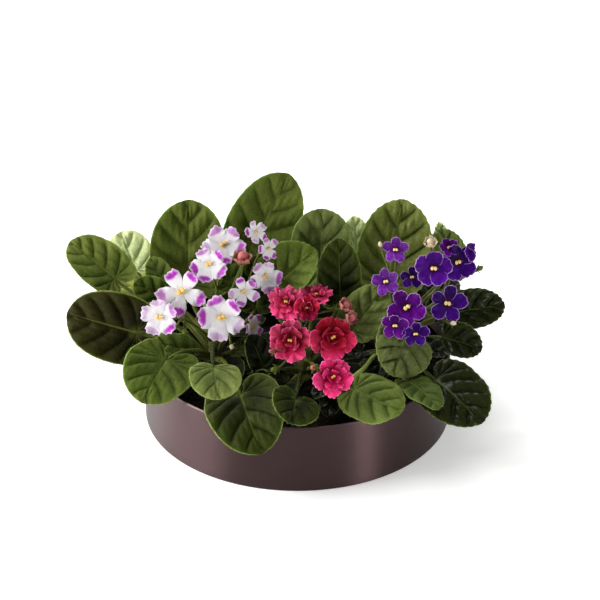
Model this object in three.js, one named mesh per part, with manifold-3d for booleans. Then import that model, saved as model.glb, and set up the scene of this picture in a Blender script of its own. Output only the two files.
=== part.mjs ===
// Three african violets growing together in one shallow round dish.
// Millimetres, +Z up, origin at the centre of the dish's underside.
// +X is to the right and -Y is toward the viewer.
import * as THREE from 'three';
import { mergeVertices } from 'three/addons/utils/BufferGeometryUtils.js';
import Module from 'manifold-3d';

const wasm = await Module();
wasm.setup();

// Dish
const DISH_RADIUS = 115;
const DISH_HEIGHT = 55;
const DISH_WALL = 1.8;
const DISH_FLOOR = 2.6;
const DISH_SEGMENTS = 52;

// Soil
const SOIL_EDGE_Z = 43.5;
const SOIL_CROWN_Z = 46.5;
const GAP = 0.3;

// Crowns: centre of each plant, radius, bottom and top of the short stem
const CROWNS = {
  left: [-62, -8],
  centre: [5, -30],
  right: [66, 0],
};
const CROWN_RADIUS = 6;
const CROWN_TOP_RADIUS = 4.5;
const CROWN_BOTTOM = 31.5;
const CROWN_TOP = 67.5;

// Leaves
const LEAF_THICKNESS = 1.2;
const LEAF_RIBS = 8;
const SMALL_LEAF_RIBS = 6;
const SMALL_LEAF_WIDTH = 34;
const LEAF_COLUMNS = 2;
const PETIOLE_RADII = [1.9, 1.8, 1.7, 1.6, 1.5, 1.1];
const SCALLOP = 0.012;
const PETIOLE_OFFSET = 1.2;
const YOUNG_OFFSET = -1;

// Blooms
const PETAL_THICKNESS = 0.9;
const STALK_RADII = [1.4, 1.3, 1.2, 1.2, 1.1];
const PEDICEL_RADII = [0.85, 0.8, 0.75, 0.75, 2.3];
const CALYX_SINK = 0.15;

// Each leaf: name, plant, junction of blade and petiole x y z, heading, pitch, roll,
// length, width, droop along the midrib, cupping, depth of the lobes beside the notch,
// and the height on the crown where the petiole starts.
const LEAVES = [
  ['rear_left', 'left', -93, 50, 60.5, 148, 13, -15, 60, 42, 20, 3, 0.25, 49.5],
  ['rear_left_low', 'left', -45, 56, 57.5, 83, 16, 3, 53, 46, 25, 3, 0.25, 51.5],
  ['rear_left_high', 'left', -72, 50, 69.5, 101, 18, -3, 52, 48, 25, 3, 0.25, 54.5],
  ['rear_centre', 'centre', -2, 58, 64.5, 99, 16, -3, 53, 46, 25, 3, 0.25, 55],
  ['rear_centre_low', 'centre', 34, 54, 57, 78, 15, 3, 55, 42, 25, 3, 0.25, 51],
  ['rear_right_low', 'right', 92, 51, 57.5, 61, 17, 8, 50, 44, 25, 3, 0.25, 53.5],
  ['rear_right_side', 'right', 105, 26, 64.5, 31, 11, 15, 40, 34, 25, 3, 0.25, 49],
  ['rear_right_high', 'right', 68, 53, 64.5, 89, 22, 0, 51, 46, 25, 3, 0.25, 50],
  ['right_pale', 'right', 113, 58, 91.5, 109, 61, -15, 34, 14, 10, 2, 0.25, 63.5],
  ['right_olive', 'right', 115, 42, 91.5, 107, 59, -10, 37, 32, 15, 3, 0.25, 58],
  ['centre_pale', 'centre', 47, 47, 101.5, 106, 63, -14, 35, 22, 10, 2, 0.25, 55.5],
  ['left_pale', 'left', -122, 44, 95.5, 139, 61, -47, 32, 37, 15, 3, 0.25, 54],
  ['left_tall', 'left', -37, 44, 111, 26, 60, 56, 68, 54, 8, 6, 0.25, 60.5],
  ['left_upright', 'left', -82, 27, 93.5, 90, 65, -3, 64, 58, 14, 5, 0.25, 59.5],
  ['centre_top', 'centre', 17, 26, 111.5, 84, 66, 9, 42, 46, 15, 5, 0.25, 60],
  ['right_top', 'right', 68, 35, 88.5, 64, 63, 26, 66, 57, 14, 5, 0.25, 60.5],
  ['left_small_high', 'left', -99, 19, 94.5, 138, 55, -36, 26, 20, 10, 2, 0.25, 64],
  ['left_small_low', 'left', -100, 9, 90.5, 177, 33, -52, 26, 24, 15, 3, 0.25, 58.5],
  ['left_side_high', 'left', -137, 17, 104, 149, 30, -34, 46, 37, 15, 6, 0.45, 50],
  ['centre_left', 'centre', -18, 10, 100.6, -3, 47, 46, 45, 43, 10, 9.5, 0.25, 63.5],
  ['centre_middle', 'centre', 32, 2, 96.5, 97, 74, -7, 45, 33, 10, 4, 0.25, 64.5],
  ['centre_right', 'centre', 41, -16, 79.5, 22, 49, 51, 40, 35, 14, 4, 0.25, 58.5],
  ['left_side_dark', 'left', -120, -11, 73.5, 177, 16, -62, 55, 53, 18, 5, 0.4, 54],
  ['right_side', 'right', 115, 14, 75.5, -2, 13, 52, 42, 31, 20, 4, 0.25, 53.5],
  ['right_side_low', 'right', 109, -6, 66.5, -24, -2, 43, 31, 27, 25, 5, 0.25, 49.5],
  ['right_big', 'right', 102, -59, 62, -50, -9, 14, 52, 52, 17, 0, 0.35, 50.5],
  ['front_low', 'right', 33, -62, 56.5, -111, 0, -12, 33, 22, 20, 3, 0.25, 51.5],
  ['front_big', 'left', -42, -81, 62, -80, 6, 16, 58, 58, 55, 1.5, 0.42, 51.5],
  ['front_heart', 'left', -97, -44, 69.5, -110, -3, -14, 45, 54, 29, 1.5, 0.42, 54.5],
  ['front_round', 'left', -61, -84, 87.5, -83, -8, -6, 27, 39, 50, 0.5, 0.22, 58.5],
  ['centre_heart', 'centre', -1, -98, 69, -94, 7, -27, 27, 38, 36, -0.5, 0.36, 53.5],
  ['right_bright', 'right', 81.5, -66, 64.5, -65, 16, 2, 50, 26, 23, -1, 0.25, 55],
  ['right_front', 'right', 80, -31, 80.5, -97, 6, -32, 42, 46, 40, 1, 0.35, 59.5],
  ['centre_front', 'centre', 42, -80, 66.5, -39, -2, 22, 43, 42, 7, -4.5, 0.3, 55.5],
];

// Each bloom: x y z of its centre, azimuth and elevation it faces, turn, radius, kind
const BLOOMS = {
  white_front_left: [[-102, -28, 97.5, -12, 30, 12, 15.2, 'single']],
  white_star: [[-86, -13, 110.5, -10, 35, 36, 19.7, 'single']],
  white_upper_left: [[-66, 0, 126.5, -6, 35, 28, 14.4, 'single']],
  white_top: [[-55, 17, 133.5, -5, 50, 36, 16.7, 'single']],
  white_inner: [[-40, -11, 109.5, 10, 20, 20, 12.1, 'single']],
  white_right: [[-24, 1, 115.5, 14, 25, 40, 12.9, 'single']],
  white_back_pair: [
    [-31, 11, 147.6, 40, 40, 0, 9.8, 'single'],
    [-22, 8, 135.2, 40, 20, 0, 9.8, 'single'],
  ],
  white_big: [[-56, -32, 99.5, 4, 30, 18, 18.2, 'single']],
  white_low_side: [[-34, -20, 84.5, 60, 10, 0, 11.4, 'single']],
  purple_right_cluster: [
    [119, 3, 126.5, 14, 25, 10, 14.4, 'single'],
    [112, 7, 136.5, 35, 45, 0, 8.3, 'single'],
    [128, 8, 132.5, 60, 20, 0, 7.6, 'single'],
  ],
  purple_top_left: [[73, 6, 135.5, -8, 25, 0, 10.6, 'single']],
  purple_left: [[66, -7, 115.5, -20, 30, 20, 11.4, 'single']],
  purple_inner: [[85, 0, 115.5, 10, 20, 0, 9.1, 'single']],
  purple_top: [[101, -8, 127.5, 4, 25, -6, 14.4, 'single']],
  purple_right: [[111, -20, 104.5, 10, 25, -15, 15.2, 'single']],
  purple_middle: [[81, -26, 104.5, -4, 30, 36, 15.2, 'single']],
  purple_low_pair: [
    [87, -45, 93.5, 6, 5, 0, 10.6, 'single'],
    [72, -45, 100.5, -4, 10, 0, 10.6, 'single'],
  ],
  pink_back: [
    [14, -14, 107.5, 0, 75, 0, 12.1, 'double'],
    [-8, -19, 104.5, -20, 50, 0, 14.4, 'double'],
    [7, -25, 103.5, 0, 30, 0, 9.8, 'double'],
  ],
  pink_left: [[-5, -41, 85.5, -14, 22, 0, 16.7, 'double']],
  pink_right: [[26, -45, 90.5, 8, 22, 30, 17.4, 'double']],
  pink_low: [[26, -95, 87, 4, 25, 30, 15.2, 'double']],
};

// Flower stalks: plant, fork of the stalk, and the blooms it carries (node and index)
const STALKS = [
  ['left', [-84, -18, 89.5], [['white_front_left', 0], ['white_star', 0]]],
  ['left', [-60, 2, 103.5], [['white_upper_left', 0], ['white_top', 0]]],
  ['left', [-44, -6, 89.5], [['white_inner', 0], ['white_right', 0], ['white_back_pair', 1]]],
  ['left', [-52, -18, 81.5], [['white_big', 0], ['white_low_side', 0]]],
  ['right', [72, -2, 105.5], [['purple_top_left', 0], ['purple_left', 0], ['purple_inner', 0]]],
  ['right', [104, 2, 107.5], [['purple_top', 0], ['purple_right_cluster', 0]]],
  ['right', [96, -12, 89.5], [['purple_right', 0], ['purple_middle', 0]]],
  ['right', [79, -14, 94.5], [['purple_low_pair', 0], ['purple_low_pair', 1, [71, -34, 91]]]],
  ['centre', [2, -18, 87.5], [['pink_back', 0], ['pink_back', 1]]],
  ['centre', [8, -34, 77.5], [['pink_left', 0], ['pink_right', 0]]],
  ['centre', [14, -60, 73.5], [['pink_low', 0]]],
];

// Young leaves that are one piece with the crown, listed as the leaves are
const YOUNG_LEAVES = [
  ['young_side', 'left', -79, -17, 58.5, -159, 33, -43, 33, 22, 20, 3, 0.25, 49],
  ['young_bud', 'left', -57, -15, 76.5, -159, 43, -56, 24, 17, 20, 3, 0.25, 57.5],
  ['young_centre', 'centre', -25, -42, 60.5, 140, 66, -25, 28, 22, 20, 3, 0.25, 53.5],
];

const rad = THREE.MathUtils.degToRad;
const vec = (x, y, z) => new THREE.Vector3(x, y, z);

// A closed three.js geometry as a solid that can be joined and cut
function toSolid(geometry) {
  const g = geometry.clone();
  g.deleteAttribute('normal');
  g.deleteAttribute('uv');
  const merged = mergeVertices(g, 1e-4);
  const index = merged.index.array;
  const kept = [];
  for (let i = 0; i < index.length; i += 3) {
    const [a, b, c] = [index[i], index[i + 1], index[i + 2]];
    if (a !== b && b !== c && c !== a) kept.push(a, b, c);
  }
  return new wasm.Manifold(new wasm.Mesh({
    numProp: 3,
    vertProperties: new Float32Array(merged.attributes.position.array),
    triVerts: new Uint32Array(kept),
  }));
}

function fromSolid(solid) {
  const mesh = solid.getMesh();
  const g = new THREE.BufferGeometry();
  g.setAttribute('position', new THREE.BufferAttribute(new Float32Array(mesh.vertProperties), 3));
  g.setIndex(new THREE.BufferAttribute(new Uint32Array(mesh.triVerts), 1));
  g.computeVertexNormals();
  return g;
}

function join(solids) {
  return solids.reduce((a, b) => a.add(b));
}

function geometryOf(points, triangles) {
  const g = new THREE.BufferGeometry();
  const flat = points.flatMap((p) => [p.x, p.y, p.z]);
  g.setAttribute('position', new THREE.BufferAttribute(new Float32Array(flat), 3));
  g.setIndex(triangles.flat());
  return g;
}

// A round tube along a curve, its radius following the given list from start to end
function tube(points, radii, sides) {
  const steps = radii.length - 1;
  const startRadius = radii[0];
  const path = new THREE.CatmullRomCurve3(points, false, 'centripetal');
  const section = new THREE.Shape();
  for (let i = 0; i < sides; i += 1) {
    const a = (2 * Math.PI * i) / sides;
    if (i === 0) section.moveTo(startRadius, 0);
    else section.lineTo(startRadius * Math.cos(a), startRadius * Math.sin(a));
  }
  section.closePath();
  const g = new THREE.ExtrudeGeometry(section, { steps, extrudePath: path, bevelEnabled: false });
  const spine = path.getSpacedPoints(steps);
  const position = g.attributes.position;
  const p = vec(0, 0, 0);
  for (let i = 0; i < position.count; i += 1) {
    p.fromBufferAttribute(position, i);
    let best = 0;
    for (let k = 1; k <= steps; k += 1) {
      if (spine[k].distanceToSquared(p) < spine[best].distanceToSquared(p)) best = k;
    }
    p.sub(spine[best]).multiplyScalar(radii[best] / startRadius).add(spine[best]);
    position.setXYZ(i, p.x, p.y, p.z);
  }
  return g;
}

// Directions of a blade: along the midrib, out of the upper face, and to its right side
function bladeFrame(heading, pitch, roll) {
  const a = rad(heading);
  const p = rad(pitch);
  const r = rad(roll);
  const along = vec(Math.cos(a) * Math.cos(p), Math.sin(a) * Math.cos(p), Math.sin(p));
  const up = vec(-Math.cos(a) * Math.sin(p), -Math.sin(a) * Math.sin(p), Math.cos(p));
  const side = along.clone().cross(up);
  return {
    along,
    up: up.clone().multiplyScalar(Math.cos(r)).addScaledVector(side, Math.sin(r)),
    side: side.clone().multiplyScalar(Math.cos(r)).addScaledVector(up, -Math.sin(r)),
  };
}

// Flat blade: u runs from the midrib to the margin, v from the notch to the tip
function bladeFlat(leaf, u, v) {
  const phi = v * Math.PI;
  const pinch = 1 - 0.45 * Math.exp(-((phi / 0.45) ** 2)) * Math.min(1, leaf.lobe / 0.3);
  const outX = (Math.sin(phi) * pinch * leaf.width) / 2;
  let outY = (1 - Math.cos(phi)) / 2 - leaf.lobe * 2.2 * Math.sin(phi) * (1 - v) ** 2;
  outY = (outY * 0.96 + 0.04 * v ** 7) * leaf.length;
  const slant = 0.85 * Math.min(1, Math.max(0, (phi - 0.8) / (Math.PI - 0.8)));
  const root = Math.max(0, outY - slant * outX);
  return [outX * u, root + (outY - root) * u ** 1.25];
}

// Point of the bent and cupped blade, lifted off its middle surface
function bladePoint(leaf, x, y, lift) {
  const k = rad(leaf.droop) / leaf.length;
  const s = Math.max(0, y);
  const forward = y > 0 ? Math.sin(k * s) / k : y;
  const down = y > 0 ? -(1 - Math.cos(k * s)) / k : 0;
  const h = (2 * x) / leaf.width;
  const back = Math.min(3, Math.max(0, -y / (0.12 * leaf.length)));
  let z = leaf.cup * h * h + 2 * Math.abs(h) + 1.5 * back ** 1.5;
  z += Math.sin(Math.atan2(x, y - 0.35 * leaf.length) * 5) * h * h;
  z += lift;
  const turn = -k * s;
  return leaf.junction.clone()
    .addScaledVector(leaf.along, forward - z * Math.sin(turn))
    .addScaledVector(leaf.up, down + z * Math.cos(turn))
    .addScaledVector(leaf.side, x);
}

function blade(leaf) {
  const points = [];
  const triangles = [];
  const rows = leaf.width < SMALL_LEAF_WIDTH ? SMALL_LEAF_RIBS : LEAF_RIBS;
  const cols = LEAF_COLUMNS;
  const at = (face, half, i, j) => ((face * 2 + half) * (rows + 1) + i) * (cols + 1) + j;
  for (let face = 0; face < 2; face += 1) {
    for (let half = 0; half < 2; half += 1) {
      for (let i = 0; i <= rows; i += 1) {
        for (let j = 0; j <= cols; j += 1) {
          const [x, y] = bladeFlat(leaf, j / cols, i / rows);
          const wave = j === cols && i > 0 && i < rows ? 1 + SCALLOP * (i % 2 ? 1 : -1) : 1;
          const lift = (face ? -0.5 : 0.5) * LEAF_THICKNESS;
          points.push(bladePoint(leaf, (half ? -x : x) * wave, y, lift));
        }
      }
      const flip = (face + half) % 2 === 1;
      const add = (a, b, c) => triangles.push(flip ? [a, c, b] : [a, b, c]);
      for (let i = 0; i < rows; i += 1) {
        for (let j = 0; j < cols; j += 1) {
          add(at(face, half, i, j), at(face, half, i, j + 1), at(face, half, i + 1, j + 1));
          add(at(face, half, i, j), at(face, half, i + 1, j + 1), at(face, half, i + 1, j));
        }
      }
    }
  }
  for (let half = 0; half < 2; half += 1) {
    for (let i = 0; i < rows; i += 1) {
      const [a, b] = [at(0, half, i, cols), at(0, half, i + 1, cols)];
      const [c, d] = [at(1, half, i, cols), at(1, half, i + 1, cols)];
      if (half) triangles.push([a, b, d], [a, d, c]);
      else triangles.push([a, d, b], [a, c, d]);
    }
  }
  return geometryOf(points, triangles);
}

// The petiole leaves the crown and runs on under the first part of the midrib
function petiole(leaf, offset) {
  const [cx, cy] = CROWNS[leaf.plant];
  const out = vec(leaf.junction.x - cx, leaf.junction.y - cy, 0).normalize();
  const taper = (CROWN_RADIUS - CROWN_TOP_RADIUS) / (CROWN_TOP - CROWN_BOTTOM);
  const surface = CROWN_RADIUS - taper * (leaf.startZ - CROWN_BOTTOM);
  const start = vec(cx, cy, leaf.startZ).addScaledVector(out, surface + offset);
  const under = 0.5 * LEAF_THICKNESS + 0.8;
  const end = bladePoint(leaf, 0, 0, -under);
  const reach = start.distanceTo(end);
  const rise = vec(0, 0, 0.9).addScaledVector(out, 0.75).normalize();
  const curve = new THREE.CubicBezierCurve3(
    start,
    start.clone().addScaledVector(rise, reach * 0.33),
    end.clone().addScaledVector(leaf.along, -reach * 0.3),
    end,
  );
  const points = [0, 0.33, 0.66, 1].map((t) => curve.getPoint(t));
  points.push(bladePoint(leaf, 0, leaf.length * 0.2, -0.9));
  return tube(points, PETIOLE_RADII, 5);
}

function leafSolid(row, offset) {
  const [name, plant, x, y, z, heading, pitch, roll, length, width, droop, cup, lobe, startZ] = row;
  const leaf = { name, plant, length, width, droop, cup, lobe, startZ };
  leaf.junction = vec(x, y, z);
  Object.assign(leaf, bladeFrame(heading, pitch, roll));
  return toSolid(blade(leaf)).add(toSolid(petiole(leaf, offset)));
}

// Directions of a bloom: the way it faces, and two across it
function bloomFrame(azimuth, elevation, turn) {
  const a = rad(azimuth);
  const e = rad(elevation);
  const face = vec(Math.cos(e) * Math.sin(a), -Math.cos(e) * Math.cos(a), Math.sin(e));
  const u = vec(0, 0, 1).cross(face).normalize();
  const v = face.clone().cross(u);
  const t = rad(turn);
  return {
    face,
    u: u.clone().multiplyScalar(Math.cos(t)).addScaledVector(v, Math.sin(t)),
    v: v.clone().multiplyScalar(Math.cos(t)).addScaledVector(u, -Math.sin(t)),
  };
}

// One whorl of petals with deep notches between them
function whorl(centre, frame, petals, radius, cup, lift, ruffle) {
  const reach = [0.5, 0.95, 1, 0.95];
  const outer = petals * 4;
  const inner = petals * 2;
  const points = [];
  const triangles = [];
  const add = (off, r, a, h) => points.push(centre.clone()
    .addScaledVector(frame.face, off + h)
    .addScaledVector(frame.u, r * Math.cos(a))
    .addScaledVector(frame.v, r * Math.sin(a)));
  for (let face = 0; face < 2; face += 1) {
    const off = (face ? -0.5 : 0.5) * PETAL_THICKNESS + lift;
    add(off, 0, 0, 0);
    for (let i = 0; i < inner; i += 1) {
      const a = (2 * Math.PI * (2 * i - 2)) / outer + Math.PI / 2;
      add(off, radius * 0.34, a, cup * radius * 0.34 ** 2);
    }
    for (let i = 0; i < outer; i += 1) {
      const a = (2 * Math.PI * (i - 2)) / outer + Math.PI / 2;
      const r = reach[i % 4];
      const step = Math.floor(i / 4) % 2 ? 0.5 : -0.5;
      add(off, radius * r, a, cup * radius * r * r + ruffle * (i % 2 ? 1 : -1) + step);
    }
  }
  const stride = 1 + inner + outer;
  for (let i = 0; i < inner; i += 1) {
    const j = (i + 1) % inner;
    const [p, q, r] = [2 * i, 2 * i + 1, (2 * i + 2) % outer].map((k) => 1 + inner + k);
    for (let face = 0; face < 2; face += 1) {
      const o = face * stride;
      [[0, 1 + i, 1 + j], [1 + i, p, q], [1 + i, q, 1 + j], [1 + j, q, r]].forEach(([a, b, c]) => {
        triangles.push(face ? [o + a, o + c, o + b] : [o + a, o + b, o + c]);
      });
    }
    [[p, q], [q, r]].forEach(([a, b]) => {
      triangles.push([a, stride + a, stride + b], [a, stride + b, b]);
    });
  }
  return toSolid(geometryOf(points, triangles));
}

// The pair of anthers in the eye of a bloom
function anthers(centre, frame, lift) {
  const g = new THREE.OctahedronGeometry(1.5, 0);
  g.scale(1.4, 1, 1);
  const p = centre.clone().addScaledVector(frame.face, lift);
  g.applyMatrix4(new THREE.Matrix4().makeBasis(frame.u, frame.v, frame.face).setPosition(p));
  return [toSolid(g)];
}

function corolla([x, y, z, azimuth, elevation, turn, radius, kind]) {
  const centre = vec(x, y, z);
  const frame = bloomFrame(azimuth, elevation, turn);
  if (kind === 'single') {
    const parts = [whorl(centre, frame, 5, radius, 0.16, 0, 0)];
    return join(parts.concat(anthers(centre, frame, 1)));
  }
  const inner = bloomFrame(azimuth, elevation, turn + 36);
  return join([
    whorl(centre, frame, 5, radius, 0.12, 0, 0.35),
    whorl(centre, inner, 5, radius * 0.66, 0.5, 0.6, 0.3),
  ]);
}

// Crown with its young leaves, flower stalks and calyxes
function stems(plant) {
  const [cx, cy] = CROWNS[plant];
  const height = CROWN_TOP - CROWN_BOTTOM;
  const crown = new THREE.CylinderGeometry(CROWN_TOP_RADIUS, CROWN_RADIUS, height, 12);
  crown.rotateX(Math.PI / 2);
  crown.translate(cx, cy, CROWN_BOTTOM + height / 2);
  const young = YOUNG_LEAVES.filter((row) => row[1] === plant);
  const solids = [toSolid(crown), ...young.map((row) => leafSolid(row, YOUNG_OFFSET))];
  STALKS.filter((row) => row[0] === plant).forEach(([, fork, carried]) => {
    const forkPoint = vec(...fork);
    const out = vec(fork[0] - cx, fork[1] - cy, 0).normalize();
    const root = vec(cx, cy, CROWN_TOP - 4).addScaledVector(out, 2);
    const bend = root.clone().lerp(forkPoint, 0.5).addScaledVector(out, -2);
    solids.push(toSolid(tube([root, bend, forkPoint], STALK_RADII, 5)));
    carried.forEach(([node, index, ...via]) => {
      const [x, y, z, azimuth, elevation, turn] = BLOOMS[node][index];
      const frame = bloomFrame(azimuth, elevation, turn);
      const seat = -PETAL_THICKNESS / 2 - GAP - CALYX_SINK;
      const behind = vec(x, y, z).addScaledVector(frame.face, -7);
      const tip = vec(x, y, z).addScaledVector(frame.face, seat);
      const start = forkPoint.clone().lerp(bend, 0.03);
      const points = [start, ...via.map((p) => vec(...p)), behind, tip];
      solids.push(toSolid(tube(points, PEDICEL_RADII, 4)));
    });
  });
  return fromSolid(join(solids));
}

function dish() {
  const inner = DISH_RADIUS - DISH_WALL;
  const profile = [
    [0, 0], [DISH_RADIUS - 1.2, 0], [DISH_RADIUS, 1.2], [DISH_RADIUS, DISH_HEIGHT - 0.4],
    [DISH_RADIUS - 0.4, DISH_HEIGHT], [inner + 0.4, DISH_HEIGHT], [inner, DISH_HEIGHT - 0.4],
    [inner, DISH_FLOOR], [0, DISH_FLOOR],
  ].map(([r, z]) => new THREE.Vector2(r, z));
  const g = new THREE.LatheGeometry(profile, DISH_SEGMENTS);
  g.rotateX(Math.PI / 2);
  return fromSolid(toSolid(g));
}

function soil() {
  const radius = DISH_RADIUS - DISH_WALL - GAP;
  const profile = [
    [0, DISH_FLOOR + GAP], [radius, DISH_FLOOR + GAP], [radius, SOIL_EDGE_Z],
    [radius * 0.55, SOIL_CROWN_Z - 1], [0, SOIL_CROWN_Z],
  ].map(([r, z]) => new THREE.Vector2(r, z));
  const g = new THREE.LatheGeometry(profile, 28);
  g.rotateX(Math.PI / 2);
  let solid = toSolid(g);
  Object.values(CROWNS).forEach(([x, y]) => {
    const hole = new THREE.CylinderGeometry(CROWN_RADIUS + GAP, CROWN_RADIUS + GAP, 40, 12);
    hole.rotateX(Math.PI / 2);
    hole.translate(x, y, CROWN_BOTTOM - GAP + 20);
    solid = solid.subtract(toSolid(hole));
  });
  return fromSolid(solid);
}

const MATERIALS = {
  dish: new THREE.MeshStandardMaterial({ color: 0x6b5553, roughness: 0.38, metalness: 0.6 }),
  soil: new THREE.MeshStandardMaterial({ color: 0x1d1512, roughness: 0.95, metalness: 0 }),
  left: new THREE.MeshStandardMaterial({ color: 0x4c5a2e, roughness: 0.6, metalness: 0 }),
  centre: new THREE.MeshStandardMaterial({ color: 0x5a7040, roughness: 0.6, metalness: 0 }),
  right: new THREE.MeshStandardMaterial({ color: 0x35452a, roughness: 0.5, metalness: 0 }),
  stems: new THREE.MeshStandardMaterial({ color: 0x6c7a3c, roughness: 0.55, metalness: 0 }),
  white: new THREE.MeshStandardMaterial({ color: 0xe9dff0, roughness: 0.55, metalness: 0 }),
  purple: new THREE.MeshStandardMaterial({ color: 0x4a239c, roughness: 0.5, metalness: 0 }),
  pink: new THREE.MeshStandardMaterial({ color: 0xd42a5f, roughness: 0.5, metalness: 0 }),
};

const group = new THREE.Group();

function place(name, geometry, material) {
  const mesh = new THREE.Mesh(geometry, MATERIALS[material]);
  mesh.name = name;
  group.add(mesh);
}

place('dish', dish(), 'dish');
place('soil', soil(), 'soil');
Object.keys(CROWNS).forEach((plant) => place(`stems_${plant}`, stems(plant), 'stems'));
LEAVES.forEach((row) => {
  place(`leaf_${row[0]}`, fromSolid(leafSolid(row, PETIOLE_OFFSET)), row[1]);
});
Object.entries(BLOOMS).forEach(([name, rows]) => {
  place(`bloom_${name}`, fromSolid(join(rows.map(corolla))), name.split('_')[0]);
});

export default group;
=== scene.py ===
"""Three african violets in one shallow round dish, with fine leaves, blooms, stems, soil and dish.

Lengths in the tables are millimetres and angles are degrees, the same as in the part's source.
Meshes are made in metres in the part's own frame: +Z up, origin under the middle of the dish.
"""
import math
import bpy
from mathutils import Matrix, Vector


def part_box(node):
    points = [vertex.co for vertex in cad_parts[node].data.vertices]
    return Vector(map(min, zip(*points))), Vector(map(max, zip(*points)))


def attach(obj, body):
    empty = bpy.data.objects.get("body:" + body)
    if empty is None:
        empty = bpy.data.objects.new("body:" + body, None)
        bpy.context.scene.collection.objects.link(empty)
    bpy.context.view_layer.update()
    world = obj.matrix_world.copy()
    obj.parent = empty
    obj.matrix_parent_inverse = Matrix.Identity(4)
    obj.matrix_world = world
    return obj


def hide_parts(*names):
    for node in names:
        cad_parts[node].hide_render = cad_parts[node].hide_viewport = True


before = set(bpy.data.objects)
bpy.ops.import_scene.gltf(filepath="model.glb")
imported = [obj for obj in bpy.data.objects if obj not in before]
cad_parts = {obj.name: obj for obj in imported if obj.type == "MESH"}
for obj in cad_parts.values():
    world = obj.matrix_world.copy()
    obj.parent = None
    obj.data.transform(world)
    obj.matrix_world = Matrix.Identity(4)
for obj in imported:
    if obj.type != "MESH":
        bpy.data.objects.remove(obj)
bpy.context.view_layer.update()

from types import SimpleNamespace

import bmesh
import bpy
import numpy as np
from mathutils import Vector

bl_info = {
    "name": "African Violets in a Dish",
    "version": (1, 0, 0),
    "blender": (4, 5, 0),
    "location": "3D View > Sidebar > Violets",
    "description": "Builds three african violets in a shallow metal dish",
    "category": "Object",
}

MM = 0.001
DISH_LOW, DISH_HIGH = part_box("dish")
SOIL_LOW, SOIL_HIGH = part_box("soil")

# Points nearer than this, in metres, become one
WELD = 2e-6

# Centre of each crown, and the short upright stem that it is
CROWNS = {"left": (-62, -8), "centre": (5, -30), "right": (66, 0)}
CROWN_RADIUS, CROWN_TOP_RADIUS = 6.0, 4.5
CROWN_BOTTOM, CROWN_TOP = 31.5, 67.5
CROWN_RINGS = 14

# Thickness of the blades and petals of the solids, and how far below a bloom its sepals spring
SOLID_LEAF = 1.2
SOLID_PETAL = 0.9
CALYX_SEAT = 0.45

# Rounding of the dish below its wall and inside its floor
DISH_FOOT = 1.2
DISH_COVE = 2.0

# Unevenness of the soil: length of a swell and its height
SOIL_SWELLS = ((19, 0.5), (9, 0.4), (4.3, 0.35), (2.7, 0.25))
SOIL_RINGS, SOIL_SIDES = 44, 150
SOIL_SEED = 11

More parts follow.
